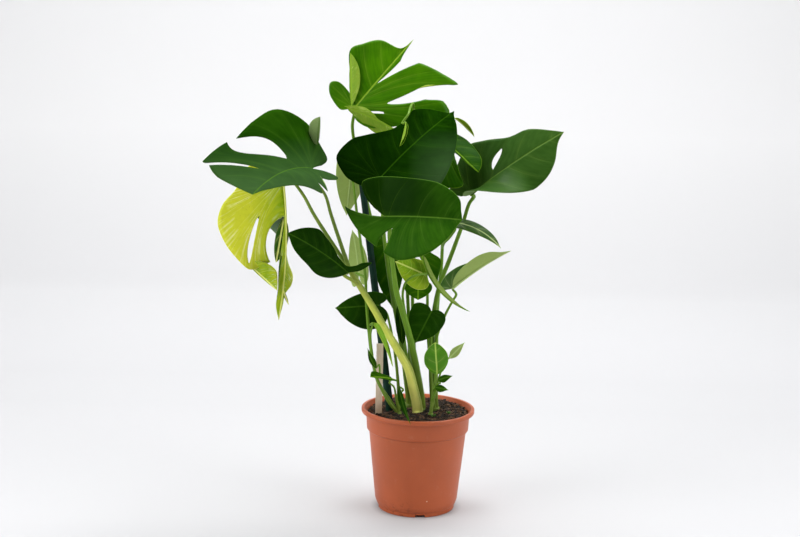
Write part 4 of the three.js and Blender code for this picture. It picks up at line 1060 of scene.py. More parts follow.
        left=dict(width=8, fold=30, cup=0, margin=OVAL),
        right=dict(width=8, fold=30, cup=0, margin=OVAL),
    ),
    leaf_bud=dict(
        base=[-34, -95, 722], tip=[-44, -105, 681], face=[0.5, -0.8, 0], finish="bright", arch=15,
        left=dict(width=9, fold=50, cup=60, margin=OVAL),
        right=dict(width=9, fold=50, cup=60, margin=OVAL),
    ),
)

# %% Make the blades
LARGE_GRID = (16, 6)
SMALL_GRID = (10, 4)
RIB_SHARE = 0.021
LEAVES["leaf_crown"]["right"]["splits"].append(dict(at=0.37, begins=0.2, ends=0.37, gap=0.09))


def is_large(leaf):
    return max(leaf["left"]["width"], leaf["right"]["width"]) > 34


def make_leaf(name, leaf, seed):
    """A closed blade with its midrib, and the lobes of its margin that turn over."""
    rows, finer = LARGE_GRID if is_large(leaf) else SMALL_GRID
    points, faces, marks, shape = blade_mesh(leaf, rows, finer, seed)
    rib = rib_points(shape, leaf, max(0.8, min(2.4, shape.length * RIB_SHARE)))
    faces = faces + tube_faces(RIB_STEPS, RIB_SIDES, len(points))
    near = np.zeros((len(rib), 3))
    near[:, 1:] = 20
    spots = [points, rib]
    marks = {"near": [marks["near"], near], "grain": [marks["grain"], np.zeros((len(rib), 3))]}
    for number, lobe in enumerate(leaf.get("lobes", [])):
        lobe_points, lobe_faces, lobe_marks, _ = blade_mesh(lobe, *SMALL_GRID, seed + 40 + number)
        start = sum(len(each) for each in spots)
        faces += [[corner + start for corner in face] for face in lobe_faces]
        spots.append(lobe_points)
        for key in marks:
            marks[key].append(lobe_marks[key])
    marks = {key: np.concatenate(parts) for key, parts in marks.items()}
    piece = add_piece(name + "_blade", np.concatenate(spots), faces, LEAF_FINISHES[leaf["finish"]], marks)
    return stands_for(piece, name)


for seed, (name, leaf) in enumerate(LEAVES.items()):
    make_leaf(name, leaf, seed)
print("leaves:", len(LEAVES))

# %% [markdown]
# ## Stems and leaf stalks
#
# Each plantlet comes out of the peat as one clump of stalks. A stalk is round and tapers, it is sheathed
# and ridged near its foot, and just under the blade it has a knee, a slightly thicker joint that turns the
# leaf to the light. A curve with a bevel would give the taper, but not the ridges or the sheath, so each
# stalk is a tube of rings whose section changes along the way. The points of each path are places that the
# stalk passes.

# %% The clumps
CLUMPS = dict(

    stems_left=dict(
        foot=[-1, -20], radius=9.5, finish="yellow",
        stalks=[
            dict(
                radius=[9, 5.2],
                path=[
                    [-1, -20, 188], [-3, -23, 205], [-10, -30, 234], [-19, -36, 269],
                    [-32, -41, 294], [-49, -50, 324],
                    [-67, -55, 354], [-81, -60, 380], [-103, -60, 415], [-123, -60, 447], [-131, -60, 460],
                ],
          ),
            dict(
                radius=[4, 2.2], leaf="leaf_left_large",
                path=[[-129, -60, 455], [-163, -65, 554], [-174, -68, 590]],
          ),
            dict(
                radius=[4, 2.6], leaf="leaf_left_hanging",
                path=[[-127, -60, 453], [-195, -40, 551], [-216, -26, 585]],
          ),
            dict(radius=[3.5, 2.6], leaf="leaf_left_middle", path=[[-112, -60, 428], [-120, -68, 436]]),
        ],
    ),
    stem_middle=dict(
        foot=[6, -1], radius=8, finish="green",
        stalks=[
            dict(
                radius=[7.8, 3.2], leaf="leaf_front_lower",
                path=[
                    [6, -1, 190], [4.5, -8, 210], [0, -17, 239], [-10, -27, 292], [-21, -48, 341],
                    [-34, -65, 386],
                    [-43, -80, 416], [-52, -92, 470], [-58, -102, 520],
                ],
          ),
        ],
    ),
    stems_back=dict(
        foot=[-14, 28], radius=11, finish="green",
        stalks=[
            dict(
                radius=[4.5, 2.8], leaf="leaf_crown",
                path=[
                    [-18, 31, 188], [-25, 35, 280], [-50, 46, 400], [-86, 66, 500],
                    [-110, 74, 590], [-124, 82, 650],
                    [-133, 72, 705],
                ],
          ),
            dict(
                radius=[4.5, 2.8], leaf="leaf_front_upper",
                path=[[-16, 25, 188], [-33, 20, 300], [-58, 8, 430], [-70, -12, 520], [-74, -35, 585]],
          ),
            dict(
                radius=[4, 2], leaf="leaf_centre_behind",
                path=[[-16, 33, 188], [-28, 48, 290], [-45, 60, 400], [-60, 58, 470]],
          ),
            dict(
                radius=[3.5, 2], leaf="leaf_centre_narrow",
                path=[[-14, 33, 188], [-22, 28, 250], [-29, 20, 290]],
          ),
            dict(
                radius=[3.5, 2], leaf="leaf_centre_dark",
                path=[[-12, 28, 188], [-8, 20, 260], [-12, 10, 350], [-14, 3, 400]],
          ),
            dict(
                radius=[3.5, 1.8], leaf="leaf_centre_lime",
                path=[
                    [-12, 22, 188], [-12, 8, 260], [-20, -10, 330], [-30, -44, 385],
                    [-33, -68, 418], [-27, -78, 440],
                    [-12, -74, 450],
                ],
          ),
            dict(
                radius=[4, 1.8], leaf="leaf_crown_young",
                path=[[-9, 33, 188], [-10, 42, 280], [-14, 55, 450], [5, 64, 600], [36, 50, 690]],
          ),
            dict(
                radius=[4, 1.8], leaf="leaf_bud",
                path=[
                    [-14, 34, 188], [-18, 52, 300], [-28, 62, 480], [-26, 50, 600],
                    [-22, 32, 680], [-20, 18, 735],
                    [-22, -16, 752], [-27, -58, 746], [-31, -84, 734],
                ],
          ),
        ],
    ),
    stems_right=dict(
        foot=[31, 4], radius=9, finish="green",
        stalks=[
            dict(
                radius=[6, 3], leaf="leaf_right_large",
                path=[
                    [30, 6, 188], [24, 4, 260], [25, 4, 360], [36, 4, 425], [50, 2, 465], [73, -6, 535],
                    [84, -12, 575],
                ],
          ),
            dict(
                radius=[4, 2.4], leaf="leaf_right_behind",
                path=[
                    [33, 7, 188], [32, 18, 280], [32, 18, 380], [37, 16, 450], [38, 28, 520], [31, 32, 620],
                    [25, 26, 665],
                ],
          ),
            dict(
                radius=[2.4, 1.8], leaf="leaf_right_drooping",
                path=[[38, 20, 488], [41, 0, 500], [48, -18, 510], [54, -28, 520]],
          ),
            dict(
                radius=[3.5, 2], leaf="leaf_right_folded",
                path=[[35, 2, 188], [28, -2, 270], [32, -2, 325], [46, -6, 367], [58, -26, 397]],
          ),
            dict(radius=[3.5, 2], leaf="leaf_right_round",
                 path=[[27, 1, 188], [22, -6, 260], [20, -14, 340]]),
            dict(
                radius=[3.5, 2], leaf="leaf_centre_folded",
                path=[[31, 0, 188], [22, 4, 260], [14, 4, 350], [12, 0, 410], [7, -12, 455], [-6, -34, 484]],
          ),
        ],
    ),
    stems_young=dict(
        foot=[23, -40], radius=4.5, finish="green",
        stalks=[
            dict(
                radius=[3, 1.4], leaf="leaf_young_round",
                path=[[23, -40, 188], [26, -36, 225], [30, -33, 255]],
          ),
            dict(
                radius=[2.4, 1.3], leaf="leaf_young_behind",
                path=[[23, -40, 188], [32, -33, 235], [44, -24, 275]],
          ),
            dict(radius=[1.8, 1.3], leaf="leaf_young_small", path=[[27, -36, 232], [31, -38, 242]]),
            dict(radius=[1.8, 1.3], leaf="leaf_young_low", path=[[25, -38, 212], [27, -39, 222]]),
        ],
    ),
    stems_left_young=dict(
        foot=[-36, -36], radius=5.5, finish="green",
        stalks=[
            dict(
                radius=[3.2, 2.2], leaf="leaf_back_pale",
                path=[
                    [-37, -36, 188], [-52, -42, 212], [-75, -49, 250], [-87, -50, 300], [-92, -50, 335],
                    [-96, -50, 370], [-99, -46, 405], [-101, -38, 440], [-109, -18, 485], [-117, 0, 530],
                    [-126, 25, 590], [-132, 40, 625],
                ],
          ),
            dict(radius=[2.2, 1.8], leaf="leaf_left_edge", path=[[-101, -38, 438], [-107, -26, 440]]),
            dict(
                radius=[3, 2], leaf="leaf_left_low",
                path=[[-36, -34, 188], [-38, -22, 240], [-46, -12, 300], [-56, -14, 350], [-64, -18, 374]],
          ),
            dict(
                radius=[2.8, 1.6], leaf="leaf_new_rolled",
                path=[
                    [-37, -37, 188], [-56, -52, 215], [-76, -62, 258], [-86, -74, 310], [-89, -79, 345],
                    [-85, -81, 364],
                ],
          ),
            dict(radius=[1.8, 1.3], leaf="leaf_left_small", path=[[-76, -61, 256], [-72, -64, 266]]),
            dict(
                radius=[2.4, 1.3], leaf="leaf_left_tiny",
                path=[[-36, -38, 188], [-42, -48, 225], [-46, -58, 243]],
          ),
            dict(radius=[2.4, 1.5], leaf="sheath_withered", path=[[-35, -37, 188], [-36, -41, 225]]),
        ],
    ),
)

# %% A smooth line through a stalk's points
KNEE = 11
STALK_GAP = 0.5
STUB_FOOT = 120
LINE_STEPS = 24


def smooth_line(points):
    """A centripetal line through the points, as closely spaced points."""
    knots = np.array(points, float)
    padded = np.concatenate([[2 * knots[0] - knots[1]], knots, [2 * knots[-1] - knots[-2]]])
    line = []
    for k in range(1, len(padded) - 2):
        p = padded[k - 1:k + 3]
        gaps = np.maximum(np.linalg.norm(np.diff(p, axis=0), axis=1) ** 0.5, 1e-6)
        leave = ((p[1] - p[0]) / gaps[0] - (p[2] - p[0]) / (gaps[0] + gaps[1])
                 + (p[2] - p[1]) / gaps[1]) * gaps[1]
        arrive = ((p[2] - p[1]) / gaps[1] - (p[3] - p[1]) / (gaps[1] + gaps[2])
                  + (p[3] - p[2]) / gaps[2]) * gaps[1]
        t = np.linspace(0, 1, LINE_STEPS, endpoint=False)[:, None]
        cubic = 2 * (p[1] - p[2]) + leave + arrive
        square = 3 * (p[2] - p[1]) - 2 * leave - arrive
        line.append(((cubic * t + square) * t + leave) * t + p[1])
    return np.concatenate([*line, knots[-1:]])


def spaced(line, step):
    """The same line with rings an even step apart, and how far along each ring is."""
    lengths = np.concatenate([[0], np.cumsum(np.linalg.norm(np.diff(line, axis=0), axis=1))])
    count = max(3, round(lengths[-1] / step))
    places = np.linspace(0, lengths[-1], count + 1)
    return np.stack([np.interp(places, lengths, line[:, axis]) for axis in range(3)], -1), places


# %% A stalk as a tube whose section changes
STALK_SIDES = 18
RING_STEP = 4.0
KNEE_LENGTH = 26.0


def stalk_end(leaf):
    """The last two points of a stalk: a knee, and an end square to the blade's underside."""
    shape = Shape(leaf)
    base, above = [shape.place(np.array(0.0), np.array(0.0), leaf["left"], lift) for lift in (0.0, 1.0)]
    down = (base - above) / np.linalg.norm(base - above)
    end = base + down * (BLADE_THICKNESS / 2 + STALK_GAP)
    return [(end + down * KNEE).tolist(), end.tolist()]


def stalk_tube(path, radius, sheath, has_leaf, rng):
    """Rings, their count and marks of one stalk. sheath is how far up its foot it is ridged and widened."""
    line, places = spaced(smooth_line(path), RING_STEP)
    total = places[-1]
    forward = np.gradient(line, axis=0)
    forward /= np.linalg.norm(forward, axis=1, keepdims=True)
    side = np.cross(forward[0], (0, 1, 0))
    side /= np.linalg.norm(side)
    turns = np.linspace(0, 2 * math.pi, STALK_SIDES, endpoint=False)
    phase = rng.uniform(0, 6.3)
    rings, marks = [], []
    for i, centre in enumerate(line):
        side = side - forward[i] * side.dot(forward[i])
        side /= np.linalg.norm(side)
        other = np.cross(forward[i], side)
        part = places[i] / total
        thick = radius[0] + (radius[1] - radius[0]) * part
        low = max(0.0, 1 - places[i] / max(sheath, 1e-6)) if sheath else 0.0
        to_knee = (total - places[i]) - KNEE_LENGTH / 2
        knee = math.exp(-(to_knee / (KNEE_LENGTH / 3)) ** 2) if has_leaf else 0.0
        thick *= 1 + 0.12 * knee
        ridges = 0.035 * np.sin(5 * turns + phase) + 0.02 * np.sin(9 * turns + phase * 2)
        flat = 1 + low * 0.1 * np.cos(2 * turns) + ridges * (0.4 + low)
        section = thick * flat
        ring = centre + np.outer(section * np.cos(turns), side) + np.outer(section * np.sin(turns), other)
        rings.append(ring)
        ridge = np.sin(5 * turns + phase)
        marks.append(np.stack([np.full(STALK_SIDES, places[i]), ridge, np.full(STALK_SIDES, part)], -1))
    return np.concatenate(rings), len(line), np.concatenate(marks)


# %% Finishes of the stalks
def stalk_finish(name, low, middle, high, ridge, gloss=0.42, pale_foot_and_shaded_side=False):
    """Colour from the foot to the blade, with paler ridges and fine long streaks.

    A stalk with a pale foot is pale yellow only on its foot and green up where it carries the blade; its side
    that faces right is painted darker green, as painted shade."""
    finish = Finish(name)
    along, ridges, part = finish.read("stalk")
    rise = along.fade(0, 130)
    streaks = finish.node("TexNoise", Vector=finish.node(
        "CombineXYZ", X=ridges * 2.5, Y=along * 0.02, Z=0.0), Scale=2.0, Detail=3.0)
    fine = finish.noise(520, 3)
    blotch = finish.noise(40, 3)
    color = finish.mix(rise, low, middle)
    color = finish.mix(part.fade(0.3, 1.0), color, high)
    pale = 1.0
    if pale_foot_and_shaded_side:
        _, _, z = finish.axes()
        up = z + blotch * 0.05
        color = finish.mix(up.fade(0.24, 0.33), low, middle)
        color = finish.mix(up.fade(0.38, 0.5), color, high)
        pale = 1 - up.fade(0.36, 0.5) * 0.85
        # Painted shade: the side of the stalk that faces right is turned darker green.
        right, _, _ = finish.facing()
        color = finish.mix(right.fade(0.1, 0.75) * 0.75, color, high)
    lines = streaks.fade(0.45, 0.75) * 0.6 + ridges.fade(0.3, 1.0) * 0.2
    color = finish.mix((lines * pale).clamped(), color, ridge)
    color = finish.mix(blotch.fade(0.55, 0.8) * 0.3, color, tuple(part * 0.6 for part in middle))
    relief = finish.bump(streaks * 0.6 + fine * 0.3, 0.0006, 0.6)
    return finish.surface(Base_Color=color, Roughness=gloss + fine * 0.15, Normal=relief,
                          Specular_IOR_Level=0.25)


STALK_FINISHES = {
    "yellow": stalk_finish("stalk_yellow", srgb(222, 222, 118), srgb(212, 220, 88), srgb(98, 124, 40),
                           srgb(226, 226, 124), pale_foot_and_shaded_side=True),
    "green": stalk_finish("stalk_green", srgb(98, 118, 40), srgb(88, 130, 16), srgb(94, 134, 26),
                          srgb(132, 166, 60)),
}
print("stalk finishes:", ", ".join(STALK_FINISHES))

# %% Make the clumps
SHEATH_LENGTH = 120.0


def make_clump(name, clump, seed):
    """All the stalks of one clump, with the stub that stands in the peat."""
    rng = random.Random(seed)
    x, y = clump["foot"]
    points, faces, marks, count = [], [], [], 0
    stub = dict(radius=[clump["radius"]] * 2, path=[[x, y, STUB_FOOT], [x, y, STUB_FOOT + 35], [x, y, 190]])
    for stalk in [stub, *clump["stalks"]]:
        path = list(stalk["path"])
        if "leaf" in stalk:
            path += stalk_end(LEAVES[stalk["leaf"]])
        at_foot = path[0][2] < 200 and stalk is not stub
        rings, steps, stalk_marks = stalk_tube(path, stalk["radius"], SHEATH_LENGTH if at_foot else 0.0,
                                               "leaf" in stalk, rng)
        faces += tube_faces(steps, STALK_SIDES, count)
        points.append(rings)
        if not at_foot and stalk is not stub:
            stalk_marks[:, 0] += 150
        if stalk is stub:
            stalk_marks[:] = 0
        marks.append(stalk_marks)
        count += len(rings)
    piece = add_piece(name + "_clump", np.concatenate(points), faces, STALK_FINISHES[clump["finish"]],
                      {"stalk": np.concatenate(marks)})
    return stands_for(piece, name)


for seed, (name, clump) in enumerate(CLUMPS.items()):
    make_clump(name, clump, 100 + seed)
print("clumps:", len(CLUMPS))

# %% [markdown]
# ## The pot
#
# A nursery pot is moulded in one shot from recycled plastic: a thin wall, a collar that stiffens the top, a
# lip turned down round the rim, and a foot cut by drain channels. A turned profile gives all of it but the
# channels, which are cut with a boolean. The corners get small arcs, because moulded plastic has no sharp
# edge.

# %% Turn the pot
FLOOR_HEIGHT = 8
RIM_HEIGHT = 190
POT_OUTSIDE = [
    (0, 0), (70.5, 0), (71.5, 1), (71.5, 8), (74, 9.5), (77, 18), (90.5, 148), (94.5, 150.5), (96.5, 182),
    (104, 182), (105, 183), (105, 189), (104, RIM_HEIGHT), (99, RIM_HEIGHT), (98, 188),
]
POT_INSIDE = [
    (94, 182), (91.9, 152.5), (88.1, 148), (74.6, 18), (71.5, 12), (69, FLOOR_HEIGHT), (0, FLOOR_HEIGHT),
]
POT_SEGMENTS = 144
CORNER_RADIUS = 1.1
CORNER_STEPS = 3
DRAIN_CHANNELS = 4
DRAIN_WIDTH = 18
DRAIN_HEIGHT = 5
DRAIN_INNER = 34
DRAIN_TURN = -84


def rounded(profile, radius):
    """The profile with a small arc at each of its points but the two ends."""
    line = [np.array(profile[0], float)]
    for before, corner, after in zip(profile, profile[1:], profile[2:]):
        corner = np.array(corner, float)
        arms = [np.array(end, float) - corner for end in (before, after)]
        reach = min(radius, *[np.linalg.norm(arm) * 0.4 for arm in arms])
        start, end = [corner + arm / np.linalg.norm(arm) * reach for arm in arms]
        for step in range(CORNER_STEPS + 1):
            t = step / CORNER_STEPS
            line.append(start * (1 - t) ** 2 + corner * 2 * t * (1 - t) + end * t * t)
    line.append(np.array(profile[-1], float))
    return line


def lathe(profile, segments):
    """A closed turned body. The profile starts and ends on the axis."""
    points = [(0, 0, profile[0][1])]
    faces = []
    inner = profile[1:-1]
    for radius, height in inner:
        points += [(radius * math.cos(turn), radius * math.sin(turn), height)
                   for turn in np.linspace(0, 2 * math.pi, segments, endpoint=False)]
    points.append((0, 0, profile[-1][1]))
    end = len(points) - 1
    for k in range(segments):
        after = (k + 1) % segments
        faces.append([0, 1 + after, 1 + k])
        for i in range(len(inner) - 1):
            a, b = 1 + i * segments + k, 1 + i * segments + after
            faces.append([a, b, b + segments, a + segments])
        a, b = 1 + (len(inner) - 1) * segments + k, 1 + (len(inner) - 1) * segments + after
        faces.append([a, b, end])
    return points, faces


def box_points(low, high):
    points = [(x, y, z) for x in (low[0], high[0]) for y in (low[1], high[1]) for z in (low[2], high[2])]
    faces = [[0, 1, 3, 2], [4, 6, 7, 5], [0, 4, 5, 1], [2, 3, 7, 6], [0, 2, 6, 4], [1, 5, 7, 3]]
    return np.array(points, float), faces


def cut(piece, cutters):
    """Cuts the cutter objects out of the piece, and removes them."""
    group = bpy.data.collections.new("cutters")
    for cutter in cutters:
        bpy.context.scene.collection.objects.unlink(cutter)
        group.objects.link(cutter)
    modifier = piece.modifiers.new("cut", "BOOLEAN")
    modifier.operation = "DIFFERENCE"
    modifier.operand_type = "COLLECTION"
    modifier.collection = group
    modifier.solver = "EXACT"
    modifier.use_self = False
    done = bpy.data.meshes.new_from_object(piece.evaluated_get(bpy.context.evaluated_depsgraph_get()))
    piece.modifiers.clear()
    piece.data = done
    for cutter in cutters:
        bpy.data.objects.remove(cutter)
    bpy.data.collections.remove(group)


# %% The pot's plastic
def pot_finish():
    """Terracotta plastic: an even satin, with scuffs all over and dried splashes at the foot."""
    finish = Finish("terracotta_plastic")
    x, y, z = finish.axes()
    cloud = finish.noise(9, 3)
    grain = finish.noise(900, 3)
    scuff = finish.noise(60, 5, 0.7)
    color = finish.mix(cloud.fade(0.35, 0.65), srgb(166, 76, 32), srgb(180, 84, 38))
    color = finish.mix(z.fade(0.178, 0.188) * 0.6, color, srgb(168, 80, 40))
    color = finish.mix(scuff.fade(0.6, 0.75) * 0.18, color, srgb(198, 140, 112))
    low = 1 - z.fade(0.006, 0.042)
    left = 1 - (x + 0.035).power(2.0).fade(0.0, 0.0011)
    front = 1 - y.fade(-0.05, 0.0)
    dirt = (finish.noise(110, 4, 0.7).fade(0.52, 0.66) * low * left * front * 0.75).clamped()
    dust = finish.noise(45, 5, 0.65).fade(0.5, 0.8) * (1 - z.fade(0.0, 0.02)) * 0.35
    color = finish.mix((dirt + dust).clamped(), color, srgb(84, 42, 24))
    speck = 1 - ((x - 0.019).power(2.0) + (z - 0.033).power(2.0)).fade(0.0000006, 0.0000016)
    color = finish.mix(speck * front, color, srgb(228, 196, 166))
    relief = finish.bump(grain * 0.4 + scuff * 0.25, 0.0004, 0.5)
    return finish.surface(Base_Color=color, Roughness=0.4 + cloud * 0.12 + dirt * 0.3, Normal=relief)


def make_pot():
    profile = rounded(POT_OUTSIDE + POT_INSIDE, CORNER_RADIUS)
    points, faces = lathe(profile, POT_SEGMENTS)
    pot = add_piece("moulded_pot", points, faces, pot_finish())
    cutters = []
    for k in range(DRAIN_CHANNELS):
        turn = math.radians(DRAIN_TURN + 360 * k / DRAIN_CHANNELS)
        low, high = (DRAIN_INNER, -DRAIN_WIDTH / 2, -DRAIN_HEIGHT), (100, DRAIN_WIDTH / 2, DRAIN_HEIGHT)
        spots, sides = box_points(low, high)
        across, along = math.cos(turn), math.sin(turn)
        spin = np.array([[across, -along, 0], [along, across, 0], [0, 0, 1]])
        cutters.append(add_piece("cutter", spots @ spin.T, sides, pot.data.materials[0]))
    cut(pot, cutters)
    pot.data.shade_smooth()
    pot.data.set_sharp_from_angle(angle=math.radians(40))
    return stands_for(pot, "pot")


pot = make_pot()
print("pot faces:", len(pot.data.polygons))

# %% [markdown]
# ## The peat
#
# Potting peat is a loose mat of dark crumbs with paler bark chips and fibres on top. A bumpy disc alone
# looks like clay, so the crumbs, chips and fibres are real bodies in the same mesh, scattered evenly over
# it by a seeded draw and kept clear of the stems.

# %% The peat's surface
PEAT_TOP = 185
PEAT_EDGE = 180
PEAT_RADIUS = 93.2
PEAT_RINGS = 46
PEAT_SEGMENTS = 150
PEAT_ROUGH = 2.4
PEAT_FOOT = 68
PEAT_PLAY = 0.3
CRUMBS = 1500
CHIPS = 420
FIBRES = 260


def peat_height(x, y):
    """The bumps of the plain solid, with finer crumbs on top."""
    waves = (math.sin(0.12 * x + 1) + math.sin(0.16 * y + 2) + math.sin(0.2 * (x + y))
             + math.sin(0.31 * (x - y)))
    crumbs = noise.fractal(Vector((x, y, 3)) * 0.16, 0.9, 2.1, 4)
    rim = max(0.0, (math.hypot(x, y) - 86) / (PEAT_RADIUS - 86))
    return PEAT_TOP + waves * (1 - rim) + crumbs * PEAT_ROUGH * (1 - rim * 0.5) - rim * (PEAT_TOP - PEAT_EDGE)


def peat_finish():
    """Almost black where it is moist, brown on the dry crumbs."""
    finish = Finish("peat")
    crumbs = finish.noise(330, 6, 0.75)
    patches = finish.noise(26, 3)
    kind, green, _ = finish.read("kind")
    color = finish.mix(crumbs.fade(0.38, 0.7), srgb(9, 6, 3), srgb(34, 25, 14))
    color = finish.mix(patches.fade(0.5, 0.75) * 0.4, color, srgb(58, 42, 24))
    chip = finish.mix(crumbs.fade(0.3, 0.7), srgb(62, 41, 26), srgb(124, 90, 60))
    color = finish.mix(kind, color, chip)
    color = finish.mix(green, color, finish.mix(patches, srgb(40, 84, 14), srgb(74, 120, 28)))
    relief = finish.bump(crumbs, 0.002, 1.0)
    return finish.surface(Base_Color=color, Roughness=0.93, Normal=relief)


def peat_body():
    """The top of the peat with a short skirt, closed below."""
    points, faces = [(0, 0, peat_height(0, 0))], []
    radii = [PEAT_RADIUS * (i / PEAT_RINGS) for i in range(1, PEAT_RINGS + 1)]
    turns = np.linspace(0, 2 * math.pi, PEAT_SEGMENTS, endpoint=False)
    for radius in radii:
        ring = [(radius * math.cos(t), radius * math.sin(t)) for t in turns]
        points += [(x, y, peat_height(x, y)) for x, y in ring]
    points += [(PEAT_FOOT * math.cos(t), PEAT_FOOT * math.sin(t), FLOOR_HEIGHT + PEAT_PLAY) for t in turns]
    points.append((0, 0, FLOOR_HEIGHT + PEAT_PLAY))
    for k in range(PEAT_SEGMENTS):
        after = (k + 1) % PEAT_SEGMENTS
        faces.append([0, 1 + k, 1 + after])
        for i in range(PEAT_RINGS):
            a, b = 1 + i * PEAT_SEGMENTS + k, 1 + i * PEAT_SEGMENTS + after
            faces.append([a, a + PEAT_SEGMENTS, b + PEAT_SEGMENTS, b])
        foot = 1 + PEAT_RINGS * PEAT_SEGMENTS
        faces.append([foot + k, len(points) - 1, foot + after])
    return points, faces


def crumb(rng, size, long):
    """A lumpy little block: a box with its corners pushed about."""
    spots, sides = box_points((-0.5, -0.5, -0.5), (0.5, 0.5, 0.5))
    spots = spots * (size * long, size * rng.uniform(0.5, 0.9), size * rng.uniform(0.3, 0.6))
    spots += np.array([[rng.uniform(-0.22, 0.22) * size for _ in range(3)] for _ in spots])
    turn = Matrix.Rotation(rng.uniform(0, 6.3), 3, "Z") @ Matrix.Rotation(rng.uniform(-0.5, 0.5), 3, "X")
    return spots @ np.array(turn).T, sides


def scatter(rng, count, size, long, lift):
    """Crumbs over the peat, clear of the stems' feet."""
    points, faces, start = [], [], 0
    feet = [(clump["foot"], clump["radius"] + 1.5) for clump in CLUMPS.values()]
    while count:
        radius, turn = 91 * math.sqrt(rng.random()), rng.uniform(0, 2 * math.pi)
        x, y = radius * math.cos(turn), radius * math.sin(turn)
        if any(math.hypot(x - fx, y - fy) < clear for (fx, fy), clear in feet):
            continue
        spots, sides = crumb(rng, rng.uniform(*size), rng.uniform(*long))
        points.append(spots + (x, y, peat_height(x, y) + lift))
        faces += [[corner + start for corner in side] for side in sides]
        start += len(spots)
        count -= 1
    return np.concatenate(points), faces


# %% Seedlings in the peat
SEEDLINGS = [(28, -52, 9), (56, -34, 8)]
SEEDLING_BLADES = 7


def seedlings(rng):
    """Small sprigs of lance-shaped blades, each a folded diamond of three points a side."""
    points, faces = [], []
    for x, y, tall in SEEDLINGS:
        base = np.array((x, y, peat_height(x, y) - 0.5))
        for k in range(SEEDLING_BLADES):
            turn = 2 * math.pi * k / SEEDLING_BLADES + rng.uniform(-0.4, 0.4)
            out = np.array((math.cos(turn), math.sin(turn), 0.0))
            across = np.array((-math.sin(turn), math.cos(turn), 0.0))
            tip = base + out * tall * rng.uniform(0.5, 0.9) + (0, 0, tall * rng.uniform(0.5, 1.0))
            middle = base * 0.45 + tip * 0.55 + (0, 0, 1.0)
            start = len(points)
            points += [base, middle + across * 1.5, tip, middle - across * 1.5, middle - (0, 0, 0.8)]
            faces += [[start + corner for corner in face]
                      for face in ([0, 1, 4], [1, 2, 4], [2, 3, 4], [3, 0, 4], [0, 3, 1], [3, 2, 1])]
    return np.array(points), faces


def make_peat():
    rng = random.Random(7)
    parts = [
        peat_body(),
        scatter(rng, CRUMBS, (1.6, 4.2), (0.9, 1.6), 0.4),
        scatter(rng, CHIPS, (2.0, 5.0), (1.2, 2.4), 0.8),
        scatter(rng, FIBRES, (0.7, 1.2), (6, 14), 1.2),
        seedlings(rng),
    ]
    points, faces, kinds, start = [], [], [], 0
    for kind, green, (spots, sides) in zip((0, 0.12, 0.75, 1, 0), (0, 0, 0, 0, 1), parts):
        points.append(np.array(spots, float))
        faces += [[corner + start for corner in side] for side in sides]
        kinds.append(np.tile((kind, green, 0), (len(spots), 1)))
        start += len(spots)
    marks = {"kind": np.concatenate(kinds)}
    peat = add_piece("peat_mat", np.concatenate(points), faces, peat_finish(), marks)
    peat.data.set_sharp_from_angle(angle=math.radians(50))
    return stands_for(peat, "peat")


peat = make_peat()
print("peat faces:", len(peat.data.polygons))

# %% [markdown]
# ## Stake and label stick
#
# The stake is a plastic-coated cane that the grower pushed in beside the main stem; its coat is dark green
# and smooth, with faint rings where the cane has its nodes. The label stick is a bare wooden one, pale
# where it is dry and stained brown just above the peat, which it draws water from.

# %% The stake
STAKE_RADII = (8.3, 6)
STAKE_FOOT = (-33.6, -26.4, 60)
STAKE_TOP = (-114, 5, 625)
STAKE_SIDES = 32
STAKE_RING_STEP = 3.0
NODE_SPACING = 118.0


def stake_finish():
    finish = Finish("green_plastic")
    cloud = finish.noise(30, 3)
    grain = finish.noise(700, 3)
    color = finish.mix(cloud.fade(0.35, 0.7), srgb(4, 32, 24), srgb(14, 52, 39))
    color = finish.mix(finish.noise(120, 5, 0.7).fade(0.62, 0.8) * 0.3, color, srgb(78, 104, 80))
    relief = finish.bump(grain * 0.4 + cloud, 0.0005, 0.5)
    return finish.surface(Base_Color=color, Roughness=0.5 + grain * 0.12, Normal=relief,
                          Specular_IOR_Level=0.15)


def make_stake():
    low, high = np.array(STAKE_FOOT, float), np.array(STAKE_TOP, float)
    total = np.linalg.norm(high - low)
    forward = (high - low) / total
    side = np.cross(forward, (0, 1, 0))
    side /= np.linalg.norm(side)
    other = np.cross(forward, side)
    turns = np.linspace(0, 2 * math.pi, STAKE_SIDES, endpoint=False)
    even = np.arange(0.4, total - 2, STAKE_RING_STEP)
    places = np.concatenate([[0], even, [total - 1, total - 0.3, total]])
    rings = []
    for place in places:
        node = math.exp(-((place % NODE_SPACING - NODE_SPACING / 2) / 3.0) ** 2)
        thick = STAKE_RADII[0] + (STAKE_RADII[1] - STAKE_RADII[0]) * place / total - 0.3 + 0.3 * node
        thick -= 1.2 * max(0.0, 1 - (total - place) / 1.0) + 0.6 * max(0.0, 1 - place / 0.4)
        circle = np.outer(np.cos(turns), side) + np.outer(np.sin(turns), other)
        rings.append(low + forward * place + thick * circle)
    faces = tube_faces(len(places), STAKE_SIDES)
    stake = add_piece("coated_stake", np.concatenate(rings), faces, stake_finish())
    return stands_for(stake, "stake")


make_stake()

# %% The label stick
LABEL_WIDTH = 12.5
LABEL_THICKNESS = 2
LABEL_FOOT = (-72.5, -40, 158)
LABEL_TOP = 318


